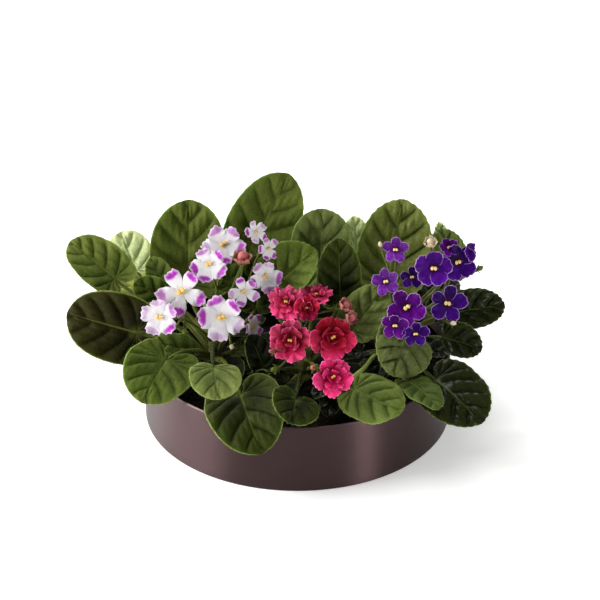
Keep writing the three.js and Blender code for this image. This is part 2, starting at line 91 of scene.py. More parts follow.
# Each leaf: name, plant, junction of blade and petiole x y z, heading, pitch, roll,
# length, width, droop, cupping, lobe depth, height where the petiole leaves the crown, tone
LEAVES = (
    ("rear_left", "left", -93, 50, 60.5, 148, 13, -15, 60, 42, 20, 3, 0.25, 49.5, "olive"),
    ("rear_left_low", "left", -45, 56, 57.5, 83, 16, 3, 53, 46, 25, 3, 0.25, 51.5, "olive"),
    ("rear_left_high", "left", -72, 50, 69.5, 101, 18, -3, 52, 48, 25, 3, 0.25, 54.5, "moss"),
    ("rear_centre", "centre", -2, 58, 64.5, 99, 16, -3, 53, 46, 25, 3, 0.25, 55, "fresh"),
    ("rear_centre_low", "centre", 34, 54, 57, 78, 15, 3, 55, 42, 25, 3, 0.25, 51, "moss"),
    ("rear_right_low", "right", 92, 51, 57.5, 61, 17, 8, 50, 44, 25, 3, 0.25, 53.5, "deep"),
    ("rear_right_side", "right", 105, 26, 64.5, 31, 11, 15, 40, 34, 25, 3, 0.25, 49, "deep"),
    ("rear_right_high", "right", 68, 53, 64.5, 89, 22, 0, 51, 46, 25, 3, 0.25, 50, "moss"),
    ("right_pale", "right", 113, 58, 91.5, 109, 61, -15, 34, 14, 10, 2, 0.25, 63.5, "pale"),
    ("right_olive", "right", 115, 42, 91.5, 107, 59, -10, 37, 32, 15, 3, 0.25, 58, "fresh"),
    ("centre_pale", "centre", 47, 47, 101.5, 106, 63, -14, 35, 22, 10, 2, 0.25, 55.5, "pale"),
    ("left_pale", "left", -122, 44, 95.5, 139, 61, -47, 32, 37, 15, 3, 0.25, 54, "pale"),
    ("left_tall", "left", -37, 44, 111, 26, 60, 56, 68, 54, 8, 6, 0.25, 60.5, "forest"),
    ("left_upright", "left", -82, 27, 93.5, 90, 65, -3, 64, 58, 14, 5, 0.25, 59.5, "forest"),
    ("centre_top", "centre", 17, 26, 111.5, 84, 66, 9, 42, 46, 15, 5, 0.25, 60, "sage"),
    ("right_top", "right", 68, 35, 88.5, 64, 63, 26, 66, 57, 14, 5, 0.25, 60.5, "olive"),
    ("left_small_high", "left", -99, 19, 94.5, 138, 55, -36, 26, 20, 10, 2, 0.25, 64, "fresh"),
    ("left_small_low", "left", -100, 9, 90.5, 177, 33, -52, 26, 24, 15, 3, 0.25, 58.5, "moss"),
    ("left_side_high", "left", -137, 17, 104, 149, 30, -34, 46, 37, 15, 6, 0.45, 50, "forest"),
    ("centre_left", "centre", -18, 10, 100.6, -3, 47, 46, 45, 43, 10, 9.5, 0.25, 63.5, "moss"),
    ("centre_middle", "centre", 32, 2, 96.5, 97, 74, -7, 45, 33, 10, 4, 0.25, 64.5, "shadowed"),
    ("centre_right", "centre", 41, -16, 79.5, 22, 49, 51, 40, 35, 14, 4, 0.25, 58.5, "grey"),
    ("left_side_dark", "left", -120, -11, 73.5, 177, 16, -62, 55, 53, 18, 5, 0.4, 54, "brown"),
    ("right_side", "right", 115, 14, 75.5, -2, 13, 52, 42, 31, 20, 4, 0.25, 53.5, "deep"),
    ("right_side_low", "right", 109, -6, 66.5, -24, -2, 43, 31, 27, 25, 5, 0.25, 49.5, "deep"),
    ("right_big", "right", 102, -59, 62, -50, -9, 14, 52, 52, 17, 0, 0.35, 50.5, "deep"),
    ("front_low", "right", 33, -62, 56.5, -111, 0, -12, 33, 22, 20, 3, 0.25, 51.5, "shade"),
    ("front_big", "left", -42, -81, 62, -80, 6, 16, 58, 58, 55, 1.5, 0.42, 51.5, "shadowed"),
    ("front_heart", "left", -97, -44, 69.5, -110, -3, -14, 45, 54, 29, 1.5, 0.42, 54.5, "moss"),
    ("front_round", "left", -61, -84, 87.5, -83, -8, -6, 27, 39, 50, 0.5, 0.22, 58.5, "grey"),
    ("centre_heart", "centre", -1, -98, 69, -94, 7, -27, 27, 38, 36, -0.5, 0.36, 53.5, "shadowed"),
    ("right_bright", "right", 81.5, -66, 64.5, -65, 16, 2, 50, 26, 23, -1, 0.25, 55, "bottle"),
    ("right_front", "right", 80, -31, 80.5, -97, 6, -32, 42, 46, 40, 1, 0.35, 59.5, "sage"),
    ("centre_front", "centre", 42, -80, 66.5, -39, -2, 22, 43, 42, 7, -4.5, 0.3, 55.5, "fresh"),
)
YOUNG_LEAVES = (
    ("young_side", "left", -79, -17, 58.5, -159, 33, -43, 33, 22, 20, 3, 0.25, 49, "fresh"),
    ("young_bud", "left", -57, -15, 76.5, -159, 43, -56, 24, 17, 20, 3, 0.25, 57.5, "grey"),
    ("young_centre", "centre", -25, -42, 60.5, 140, 66, -25, 28, 22, 20, 3, 0.25, 53.5, "shade"),
)
# Small leaves that lie low among the stalks and hide the soil; most take the near-black shade and
# shadowed tones, which paint the shade under the other leaves
LOW_LEAVES = (
    ("low_gap", "left", -31, 14, 81.5, 78, 62, 4, 40, 32, 12, 3, 0.25, 60.5, "shadowed"),
    ("low_gap_rear", "left", -50, 48, 79.5, 96, 46, 4, 40, 34, 12, 3, 0.25, 52.5, "moss"),
    ("low_left_edge", "left", -96, 4, 59.5, -178, 10, -4, 32, 28, 20, 3, 0.3, 51, "shade"),
    ("low_right_reach", "right", 32, -72, 67, -150, -5, 0, 24, 20, 20, 3, 0.3, 48, "shade"),
    ("low_left_front", "left", -56, -30, 56.5, -70, 14, 6, 30, 26, 20, 3, 0.3, 50.5, "shade"),
    ("low_left_inner", "left", -44, -14, 59.5, -24, 12, 10, 26, 24, 20, 3, 0.3, 51.5, "shadowed"),
    ("low_left_side", "left", -84, -28, 61.5, -140, 14, -8, 24, 22, 20, 3, 0.3, 52.5, "fresh"),
    ("low_left_back", "left", -48, 16, 57.5, 44, 16, 6, 30, 26, 20, 3, 0.3, 50.5, "shade"),
    ("low_centre_left", "centre", -14, -36, 56.5, -166, 12, 8, 26, 24, 20, 3, 0.3, 50.5, "shade"),
    ("low_centre_front", "centre", -6, -52, 55.5, -118, 10, -6, 30, 26, 20, 3, 0.3, 49.5, "shade"),
    ("low_centre_right", "centre", 24, -44, 57.5, -36, 14, 6, 32, 26, 20, 3, 0.3, 51.5, "shade"),
    ("low_centre_back", "centre", 14, -6, 59.5, 70, 18, 4, 32, 28, 20, 3, 0.3, 51.5, "shade"),
    ("low_centre_side", "centre", -16, -14, 59.5, 152, 16, 6, 28, 24, 20, 3, 0.3, 52.5, "shade"),
    ("low_right_left", "right", 48, -14, 58.5, -146, 14, -6, 30, 26, 20, 3, 0.3, 50.5, "shade"),
    ("low_right_front", "right", 64, -24, 57.5, -100, 10, 4, 30, 26, 20, 3, 0.3, 49.5, "shade"),
    ("low_right_side", "right", 86, -10, 59.5, -30, 12, 6, 28, 24, 20, 3, 0.3, 51.5, "shade"),
    ("low_right_back", "right", 52, 18, 58.5, 128, 16, 6, 30, 26, 20, 3, 0.3, 50.5, "shade"),
)

# Lengths from which a blade has one more pair of side veins
SMALL_BLADE, LARGE_BLADE = 34, 44

# Steps from the midrib to the margin, for a blade and for one that is shorter than small
BLADE_STEPS = (0, 0.02, 0.045, 0.08, 0.13, 0.19, 0.26, 0.33, 0.41, 0.49, 0.57, 0.65, 0.73, 0.8,
               0.86, 0.91, 0.95, 0.98, 1.0)
SMALL_BLADE_STEPS = (0, 0.02, 0.045, 0.13, 0.19, 0.26, 0.41, 0.57, 0.73, 0.8, 0.91, 0.95, 0.98, 1.0)

# Rows of points from one side vein to the next
BAND_ROWS = 8

# How the blades of each plant are made: depth of the quilting, of the teeth, of the fine blisters
BLADE_STYLE = {
    "left": (0.23, 0.25, 0.45),
    "centre": (0.24, 0.45, 0.45),
    "right": (0.32, 0.7, 0.5),
    "right_bright": (0.14, 0.3, 0.0),
}

# Skin of the blades of each plant: roughness, sheen, scale of the net, painted shade in the sunken
# veins, glow of the margin, which is partly its hairs and partly painted backlight, relief,
# specular level
LEAF_FINISH = {
    "left": (0.6, 0.06, 270.0, 0.3, 0.26, 0.5, 0.06),
    "centre": (0.52, 0.04, 260.0, 0.3, 0.2, 0.4, 0.06),
    "right": (0.31, 0.0, 230.0, 0.6, 0.12, 0.25, 0.12),
}

# How much lighter the outer part of a blade is than its middle; on the shadowed and deep leaves the
# darker middle is painted shade from the leaves above
EDGE_LIGHT = {"shadowed": 1.0, "brown": 0.5, "deep": 0.3, "grey": 0.3}
PLAIN_EDGE_LIGHT = 0.15

# Leaves with the skin of another plant's leaves: soft green, not glossy
LEAF_SKIN = {"right_bright": "centre"}

# Petioles that are not of the plain petiole colour: the shade tone paints the shade that hides two
# of them, the rim tone paints light on one that stands in shade
PETIOLE_PAINTED_LIGHT_AND_SHADE = {"front_round": "shade", "centre_heart": "shade", "low_right_reach": "rim"}

# Radius along a petiole, at both ends of a flower stalk, and at the places given along a pedicel,
# which then flares into its sepals. Petioles and pedicels have STALK_RINGS rings of points.
PETIOLE_RADII = (1.9, 1.8, 1.7, 1.6, 1.5, 0.9)
STALK_RADII = (1.4, 1.1)
PEDICEL_PLACES, PEDICEL_RADII = (0, 0.5, 0.9, 1), (0.85, 0.75, 0.75)
STALK_RINGS = 22

# Colours of the blooms, each the start of their names
KINDS = ("white", "purple", "pink")

# Each bloom: x y z of its centre, azimuth and elevation it faces, turn, radius, tone
BLOOMS = {
    "white_front_left": ((-102, -28, 97.5, -12, 30, 12, 15.2, "white_full"),),
    "white_star": ((-86, -13, 110.5, -10, 35, 36, 19.7, "white"),),
    "white_upper_left": ((-66, 0, 126.5, -6, 35, 28, 14.4, "white_full"),),
    "white_top": ((-55, 17, 133.5, -5, 50, 36, 16.7, "white_full"),),
    "white_inner": ((-40, -11, 109.5, 10, 20, 20, 12.1, "white"),),
    "white_right": ((-24, 1, 115.5, 14, 25, 40, 12.9, "white_full"),),
    "white_back_pair": (
        (-31, 11, 147.6, 40, 40, 0, 9.8, "white"),
        (-22, 8, 135.2, 40, 20, 0, 9.8, "white"),
    ),
    "white_big": ((-56, -32, 99.5, 4, 30, 18, 18.2, "white_full"),),
    "white_low_side": ((-34, -20, 84.5, 60, 10, 0, 11.4, "white"),),
    "purple_right_cluster": (
        (119, 3, 126.5, 14, 25, 10, 14.4, "ink_full"),
        (112, 7, 136.5, 35, 45, 0, 8.3, "plum"),
        (128, 8, 132.5, 60, 20, 0, 7.6, "violet"),
    ),
    "purple_top_left": ((73, 6, 135.5, -8, 25, 0, 10.6, "lilac"),),
    "purple_left": ((66, -7, 115.5, -20, 30, 20, 11.4, "lilac"),),
    "purple_inner": ((85, 0, 115.5, 10, 20, 0, 9.1, "ink"),),
    "purple_top": ((101, -8, 127.5, 4, 25, -6, 14.4, "violet"),),
    "purple_right": ((111, -20, 104.5, 10, 25, -15, 15.2, "ink"),),
    "purple_middle": ((81, -26, 104.5, -4, 30, 36, 15.2, "plum"),),
    "purple_low_pair": (
        (87, -45, 93.5, 6, 5, 0, 10.6, "ink"),
        (72, -45, 100.5, -4, 10, 0, 10.6, "plum"),
    ),
    "pink_back": (
        (14, -14, 107.5, 0, 75, 0, 12.1, "rose"),
        (-8, -19, 104.5, -20, 50, 0, 14.4, "rose"),
        (7, -25, 103.5, 0, 30, 0, 9.8, "crimson"),
    ),
    "pink_left": ((-5, -41, 85.5, -14, 22, 0, 16.7, "crimson_light"),),
    "pink_right": ((26, -45, 90.5, 8, 22, 30, 17.4, "crimson"),),
    "pink_low": ((26, -95, 87, 4, 25, 30, 15.2, "cerise"),),
}

# Petals of each tone: breadth, fullness of the base (0.5 broad, 1 narrow), bluntness of the tip,
# ruffle, frill of the margin. A tone that has no row here has that of its first word.
PETAL_STYLE = {
    "white": (0.5, 0.68, 2.6, 0.08, 0.045),
    "white_full": (0.57, 0.56, 3.2, 0.09, 0.05),
    "violet": (0.62, 0.45, 2.6, 0.08, 0.035),
    "lilac": (0.6, 0.5, 1.5, 0.07, 0.03),
    "ink": (0.53, 0.62, 2.8, 0.08, 0.03),
    "ink_full": (0.6, 0.5, 3.0, 0.08, 0.03),
    "plum": (0.62, 0.52, 1.8, 0.09, 0.035),
    "rose": (0.62, 0.5, 3.2, 0.12, 0.06),
    "crimson": (0.63, 0.5, 3.4, 0.11, 0.035),
    "cerise": (0.57, 0.52, 3.2, 0.12, 0.04),
}

# How light the outer parts of the petals of the double blooms are, less on the upper petals, which
# is painted shade
PINK_LIGHT = {"crimson": 0.45, "crimson_light": 1.3, "rose": 1.3, "cerise": 1.0}

# Tones of the blooms with cream pollen sacs
VIOLET_TONES = ("violet", "lilac", "ink", "plum")

# How strong the magenta tip of a white petal may be
TIP_STRENGTHS = (0.45, 0.75, 0.95, 1.0, 1.0)

# Inner whorls of a double bloom: number of petals, their reach, bend and height
INNER_WHORLS = ((4, 0.66, 0.7, 0.8), (3, 0.42, 1.4, 1.5))

# Flower stalks: plant, fork of the stalk, and the blooms it carries (node and index)
STALKS = (
    ("left", (-84, -18, 89.5), (("white_front_left", 0), ("white_star", 0))),
    ("left", (-60, 2, 103.5), (("white_upper_left", 0), ("white_top", 0))),
    ("left", (-44, -6, 89.5), (("white_inner", 0), ("white_right", 0), ("white_back_pair", 1))),
    ("left", (-52, -18, 81.5), (("white_big", 0), ("white_low_side", 0))),
    ("right", (72, -2, 105.5), (("purple_top_left", 0), ("purple_left", 0), ("purple_inner", 0))),
    ("right", (104, 2, 107.5), (("purple_top", 0), ("purple_right_cluster", 0))),
    ("right", (96, -12, 89.5), (("purple_right", 0), ("purple_middle", 0))),
    ("right", (79, -14, 94.5), (("purple_low_pair", 0), ("purple_low_pair", 1, (71, -34, 91)))),
    ("centre", (2, -18, 87.5), (("pink_back", 0), ("pink_back", 1))),
    ("centre", (8, -34, 77.5), (("pink_left", 0), ("pink_right", 0))),
    ("centre", (14, -60, 73.5), (("pink_low", 0),)),
)

# Buds: plant, fork that the pedicel leaves, tip x y z, length of the bud, tone of its petals
BUDS = (
    ("left", (-84, -18, 89.5), (-84, -26, 85.5), 6, "stalk"),
    ("left", (-84, -18, 89.5), (-91, -25, 87.5), 5, "stalk"),
    ("left", (-52, -18, 81.5), (-49, -36, 77.5), 6, "blush"),
    ("left", (-44, -6, 89.5), (-41, 3, 125.5), 11, "spent"),
    ("right", (72, -2, 105.5), (62, 8, 136.5), 5, "blush"),
    ("right", (104, 2, 107.5), (99, 2, 140.5), 8, "blush"),
    ("right", (104, 2, 107.5), (134, 5, 118.5), 6, "stalk"),
    ("right", (96, -12, 89.5), (114, -27, 91.5), 6, "blush"),
    ("centre", (8, -34, 77.5), (-17, -46, 78.5), 6, "spent"),
    ("centre", (8, -34, 77.5), (-15, -52, 67.5), 7, "stalk"),
    ("centre", (14, -60, 73.5), (12, -68, 77.5), 7, "spent"),
    ("centre", (2, -18, 87.5), (33, -22, 102), 8, "spent"),
    ("centre", (2, -18, 87.5), (37, -28, 95.5), 8, "spent"),
)

# Length from which a bud shows its crumpled petals
OPENING_BUD = 8

# Lights: name, setting with its power, width, height, place in metres
LAMPS = (
    ("light_main", "key", 1.0, 1.0, (-1.7, -0.25, 1.5)),
    ("light_rear", "rear", 1.0, 1.0, (-0.5, 1.5, 1.7)),
    ("light_side", "side", 0.32, 0.22, (1.45, -1.36, 0.14)),
    ("light_low", "low", 2.2, 0.26, (-1.6, -0.1, 0.18)),
)

# Half the floor and the camera's farthest sight in metres, its sensor in millimetres
FLOOR_REACH, CLIP_END, SENSOR_WIDTH = 6, 100, 36


def paint(red, green, blue):
    """A paint-chart colour, 0 to 255, as the linear colour that materials use."""
    chart = (red / 255, green / 255, blue / 255)
    return tuple(c / 12.92 if c <= 0.04045 else ((c + 0.055) / 1.055) ** 2.4 for c in chart)


def colour_property(name, description, *chart):
    """A colour that the user may change."""
    return bpy.props.FloatVectorProperty(
        name=name, description=description, subtype="COLOR", size=3, min=0, max=1,
        default=paint(*chart))


def length_property(name, description, default):
    """A length in metres that the user may change."""
    return bpy.props.FloatProperty(
        name=name, description=description, default=default, min=0, unit="LENGTH", precision=4)


class VioletDishSettings(bpy.types.PropertyGroup):
    """Sizes and finish of the dish."""
    radius: length_property("Radius", "Outside radius of the dish", DISH_HIGH[0])
    height: length_property("Height", "Height of the rim", DISH_HIGH[2])
    wall: length_property("Wall", "Thickness of the wall", 0.0018)
    floor: length_property("Floor", "Thickness of the floor", 0.0026)
    sides: bpy.props.IntProperty(
        name="Sides", description="Facets round the dish", default=180, min=24)
    metal: colour_property("Metal", "Satin coating of the metal", 60, 44, 45)
    # Lighter rim: partly wear, partly a painted highlight along the rolled rim
    rim_wear_and_highlight: colour_property("Worn edge", "Lighter metal along the rim", 84, 71, 70)


class VioletSoilSettings(bpy.types.PropertyGroup):
    """Surface of the potting soil."""
    radius: length_property("Radius", "Outside radius of the soil", SOIL_HIGH[0])
    bottom: length_property("Bottom", "Height of the underside", SOIL_LOW[2])
    edge: length_property("Edge height", "Height of the soil at the dish wall", 0.0435)
    crown: length_property("Crown height", "Height of the soil in the middle", 0.0465)
    crumbs: bpy.props.IntProperty(
        name="Crumbs", description="Loose crumbs on the surface", default=420, min=0)
    dark: colour_property("Dark soil", "Colour of the moist hollows", 12, 8, 6)
    light: colour_property("Light soil", "Colour of the drier crumbs", 34, 25, 19)


class VioletLeafSettings(bpy.types.PropertyGroup):
    """Form and colours of the leaves."""
    thickness: length_property("Thickness", "Thickness of a blade at its middle", 0.0011)
    quilting: bpy.props.FloatProperty(
        name="Quilting", description="Height of the pads between the veins, 1 as grown",
        default=1.0, min=0, subtype="FACTOR")
    hair: length_property("Hair", "Length of the hairs along the margin", 0.0011)
    hairs: bpy.props.IntProperty(
        name="Hairs", description="Hairs along each margin, for each centimetre of leaf",
        default=46, min=0)
    forest: colour_property("Forest", "Tall velvety leaves", 70, 79, 29)
    olive: colour_property("Olive", "Tall quilted leaf", 104, 112, 52)
    moss: colour_property("Moss", "Full green leaves", 68, 80, 28)
    fresh: colour_property("Fresh", "Younger, lighter leaves", 81, 94, 41)
    grey: colour_property("Grey", "Soft grey-green leaves", 92, 102, 54)
    sage: colour_property("Sage", "Darker grey-green leaves", 84, 93, 49)
    # Painted light: the glow of leaves lit from behind, given as a pale tone
    pale: colour_property("Pale", "Leaves with the light behind them", 182, 190, 142)
    brown: colour_property("Brown", "Old bronze-green leaf", 26, 25, 4)
    deep: colour_property("Deep", "Dark glossy leaves", 24, 29, 4)
    # Painted shade: near-black tone of the leaves that lie low under the others
    shade: colour_property("Shade", "Low leaves under the others", 16, 21, 6)
    bottle: colour_property("Bottle", "Small green leaf in front", 56, 70, 24)
    # Painted shade: darker tone for the front leaves that lie in the shadow of the leaves above
    shadowed: colour_property("Dim", "Dark front leaves", 23, 29, 4)
    vein: colour_property("Vein", "Midrib and the start of the veins", 142, 160, 70)
    # Pale margin of the blades and hairs: partly the hairs, partly painted backlight glow; it also
    # paints light on one shaded petiole
    rim: colour_property("Rim", "Thin light margin", 150, 166, 84)
    under: colour_property("Underside", "Lower face of the blade", 134, 146, 104)
    petiole: colour_property("Petiole", "Leaf stalks", 88, 92, 44)


class VioletBloomSettings(bpy.types.PropertyGroup):
    """Form and colours of the blooms."""
    thickness: length_property("Thickness", "Thickness of a petal at its middle", 0.0006)
    ruffle: bpy.props.FloatProperty(
        name="Ruffle", description="Waves along the petal margins, 1 as grown",
        default=1.0, min=0, subtype="FACTOR")
    white: colour_property("White", "White petals", 200, 197, 200)
    tip: colour_property("Tip", "Magenta tips of the white petals", 146, 44, 148)
    violet: colour_property("Violet", "Full violet petals", 72, 12, 118)
    lilac: colour_property("Lilac", "Lighter violet petals", 118, 50, 152)
    ink: colour_property("Ink", "Darkest violet petals", 56, 4, 104)
    plum: colour_property("Plum", "Reddish violet petals", 94, 10, 122)
    lilac_rim: colour_property("Lilac rim", "Thin margin of the violet petals", 196, 158, 214)
    crimson: colour_property("Crimson", "Red-pink double blooms", 166, 0, 30)
    rose: colour_property("Rose", "Lighter pink double blooms", 216, 46, 94)
    cerise: colour_property("Cerise", "Magenta-pink double bloom", 214, 16, 100)
    pink_rim: colour_property("Pink rim", "Light margin of the pink petals", 236, 100, 152)
    # Dark crimson of the streaks and patches, and the painted shade in the heart of the pink blooms
    heart: colour_property("Heart", "Dark heart of the pink blooms", 84, 0, 10)
    anther: colour_property("Anther", "Pollen sacs of the white and pink blooms", 206, 166, 88)
    cream: colour_property("Cream", "Pollen sacs of the violet blooms", 226, 192, 128)


class VioletStemSettings(bpy.types.PropertyGroup):
    """Colours of the crowns, stalks and buds."""
    sides: bpy.props.IntProperty(
        name="Sides", description="Facets round a stalk", default=9, min=5)
    hair: length_property("Hair", "Length of the hairs on stalks and sepals", 0.0009)
    stalk: colour_property("Stalk", "Flower stalks and sepals", 84, 88, 38)
    blush: colour_property("Blush", "Pale buds", 206, 184, 160)
    spent: colour_property("Spent", "Fading bloom", 170, 92, 98)
    crown: colour_property("Crown", "Short upright stem", 96, 92, 54)


class VioletStageSettings(bpy.types.PropertyGroup):
    """Camera, light and floor."""
    distance: length_property("Distance", "Camera to the point it looks at", 3.0)
    elevation: bpy.props.FloatProperty(
        name="Elevation", description="Height of the camera above the horizon",
        default=math.radians(30.5), subtype="ANGLE")
    lens: bpy.props.FloatProperty(
        name="Lens", description="Focal length in millimetres", default=241, min=1)
    aim: bpy.props.FloatVectorProperty(
        name="Aim", description="Point that the camera looks at", subtype="TRANSLATION",
        size=3, default=(0.0019, 0, 0.0955))
    key: bpy.props.FloatProperty(
        name="Main light", description="Power of the large light on the left", default=40,
        min=0, unit="POWER")
    rear: bpy.props.FloatProperty(
        name="Rear light", description="Power of the light behind the leaves", default=40,
        min=0, unit="POWER")
    room: bpy.props.FloatProperty(
        name="Room light", description="Strength of the light from all round", default=0.36,
        min=0, subtype="FACTOR")
    side: bpy.props.FloatProperty(
        name="Side light", description="Power of the narrow light on the right", default=20,
        min=0, unit="POWER")
    low: bpy.props.FloatProperty(
        name="Low light", description="Power of the low light on the left", default=60,
        min=0, unit="POWER")
    glow: bpy.props.FloatProperty(
        name="Floor glow", description="Light that the floor sends back", default=0.35,
        min=0, subtype="FACTOR")
    floor: colour_property("Floor", "Pale floor", 244, 244, 243)


SETTINGS = {
    "violet_dish": VioletDishSettings,
    "violet_soil": VioletSoilSettings,
    "violet_stems": VioletStemSettings,
    "violet_leaves": VioletLeafSettings,
    "violet_blooms": VioletBloomSettings,
    "violet_stage": VioletStageSettings,
}


def unit(vectors):
    """The same directions with length one."""
    vectors = np.asarray(vectors, float)
    return vectors / np.maximum(np.linalg.norm(vectors, axis=-1, keepdims=True), 1e-12)


def ease(low, high, value):
    """Smooth rise from 0 at low to 1 at high."""
    part = np.clip((value - low) / (high - low), 0, 1)
    return part * part * (3 - 2 * part)


def sheet_faces(rows, cols):
    """Quads of an open grid of points."""
    at = np.arange(rows * cols).reshape(rows, cols)
    return np.stack([at[:-1, :-1], at[:-1, 1:], at[1:, 1:], at[1:, :-1]], -1).reshape(-1, 4)


def ring_faces(rows, cols):
    """Quads of a grid whose last column meets its first."""
    at = np.arange(rows * cols).reshape(rows, cols)
    turned = np.roll(at, -1, 1)
    return np.stack([at[:-1], turned[:-1], turned[1:], at[1:]], -1).reshape(-1, 4)


class Form:
    """Points and faces of one piece, with the values its material reads at each point.

    grow holds where on a blade or petal a point is, with 0 as its last value on anything else;
    flat is its place on the flat blade or petal, or else in space, in metres; tone is its colour,
    which in some leaves and petals holds painted shade and light, and how strong its marks are.
    """

    def __init__(self):
        self.points, self.faces, self.size = [], [], 0
        self.values = {"grow": [], "flat": [], "tone": []}

    def add(self, points, faces, grow=(0, 0, 0), flat=None, tone=(1, 1, 1), mark=1.0):
        points = np.asarray(points, float).reshape(-1, 3)
        flat = points * MM if flat is None else flat
        self.faces.append(np.asarray(faces) + self.size)
        self.points.append(points)
        for name, value in (("grow", grow), ("flat", flat), ("tone", (*tone, mark))):
            value = np.asarray(value, float)
            value = value.reshape(-1, value.shape[-1])
            self.values[name].append(np.broadcast_to(value, (len(points), value.shape[-1])))
        self.size += len(points)


def make_piece(name, form, material, slot, *nodes):
    """Turns a form into a smooth closed mesh that stands for the named solids."""
    if not form.size:
        raise RuntimeError(f"{name} has no points")
    mesh = bpy.data.meshes.new(name)
    faces = [face for block in form.faces for face in block.tolist()]
    mesh.from_pydata((np.concatenate(form.points) * MM).tolist(), [], faces)
    for key, kind, field in (("grow", "FLOAT_VECTOR", "vector"),
                             ("flat", "FLOAT_VECTOR", "vector"),
                             ("tone", "FLOAT_COLOR", "color")):
        layer = mesh.attributes.new(key, kind, "POINT")
        values = np.concatenate(form.values[key]).astype(np.float32)
        layer.data.foreach_set(field, values.ravel())
    shape = bmesh.new()
    shape.from_mesh(mesh)
    bmesh.ops.remove_doubles(shape, verts=shape.verts, dist=WELD)
    shape.to_mesh(mesh)
    shape.free()
    mesh.shade_smooth()
    mesh.materials.append(material)
    piece = bpy.data.objects.new(name, mesh)
    bpy.context.scene.collection.objects.link(piece)
    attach(piece, "root")
    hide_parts(*nodes)


def spline(points, count):
    """Evenly spaced points along a smooth curve through the given ones."""
    points = np.asarray(points, float)
    ends = np.vstack([2 * points[0] - points[1], points, 2 * points[-1] - points[-2]])
    fine = [points[0]]
    for a, b, c, d in zip(ends, ends[1:], ends[2:], ends[3:]):
        steps = [max(np.linalg.norm(q - p), 1e-6) ** 0.5 for p, q in ((a, b), (b, c), (c, d))]
        knots = np.cumsum([0] + steps)
        for t in np.linspace(knots[1], knots[2], 25)[1:]:
            def between(p, q, i, j):
                return ((knots[j] - t) * p + (t - knots[i]) * q) / (knots[j] - knots[i])
            ab, bc, cd = between(a, b, 0, 1), between(b, c, 1, 2), between(c, d, 2, 3)
            fine.append(between(between(ab, bc, 0, 2), between(bc, cd, 1, 3), 1, 2))
    fine = np.array(fine)
    travel = np.concatenate([[0], np.cumsum(np.linalg.norm(np.diff(fine, axis=0), axis=1))])
    wanted = np.linspace(0, travel[-1], count)
    return np.stack([np.interp(wanted, travel, fine[:, k]) for k in range(3)], -1)


def tube(form, path, radii, sides, **values):
    """A round stalk along a path. Returns points on its skin and the way each faces."""
    path = np.vstack([path[:1], path, path[-1:]])
    radii = np.concatenate([[0], radii, [0]])
    along = unit(np.gradient(path[1:-1], axis=0))
    along = np.vstack([along[:1], along, along[-1:]])
    across = unit(np.cross(along[0], (0.3, 0.2, 1)))
    rings, ways = [], []
    angles = np.linspace(0, 2 * math.pi, sides, endpoint=False)[:, None]
    for centre, way, radius in zip(path, along, radii):
        across = unit(across - way * (across @ way))
        spoke = np.cos(angles) * across + np.sin(angles) * np.cross(way, across)
        rings.append(centre + radius * spoke)
        ways.append(spoke)
    form.add(np.array(rings), ring_faces(len(path), sides), **values)
    return np.array(rings[2:-2]).reshape(-1, 3), np.array(ways[2:-2]).reshape(-1, 3)


def lobe(form, centre, axes, sizes, rings=7, sides=10, dent=0.0, **values):
    """A rounded body with three half-widths along three axes."""
    lift = np.linspace(-math.pi / 2, math.pi / 2, rings)[:, None]
    turn = np.linspace(0, 2 * math.pi, sides, endpoint=False)[None]
    ring = np.cos(lift)
    ball = np.stack([ring * np.cos(turn), ring * np.sin(turn), np.sin(lift) + 0 * turn], -1)
    ball[..., 2] -= dent * np.exp(-(ball[..., 0] / 0.35) ** 2) * (ball[..., 2] > 0)
    points = centre + (ball * sizes) @ np.array(axes)
    form.add(points, ring_faces(rings, sides), **values)


def hairs(form, roots, ways, length, width, rng, **values):
    """Slim spikes that stand on a skin, each a closed sliver with three sides."""
    if not len(roots):
        return
    ways = unit(ways + rng.normal(0, 0.28, ways.shape))
    side = unit(np.cross(ways, (0.31, 0.52, 0.79)))
    other = np.cross(ways, side)
    reach = length * rng.uniform(0.55, 1.15, (len(roots), 1))
    base = roots - 0.15 * ways
    corners = [base + width * (side * math.cos(a) + other * math.sin(a)) for a in (0, 2.094, 4.189)]
    points = np.stack([*corners, base + reach * ways], 1)
    faces = np.array([[0, 1, 3], [1, 2, 3], [2, 0, 3], [2, 1, 0]])
    faces = (np.arange(len(roots))[:, None, None] * 4 + faces).reshape(-1, 3)
    form.add(points, faces, **values)


def hairy_tube(form, path, radii, sides, number, length, width, rng, tone):
    """A round stalk with a number of hairs scattered over it."""
    skin, ways = tube(form, path, radii, sides, tone=tone)
    chosen = rng.integers(0, len(skin), number)
    hairs(form, skin[chosen], ways[chosen], length, width, rng, tone=tone)


# Materials

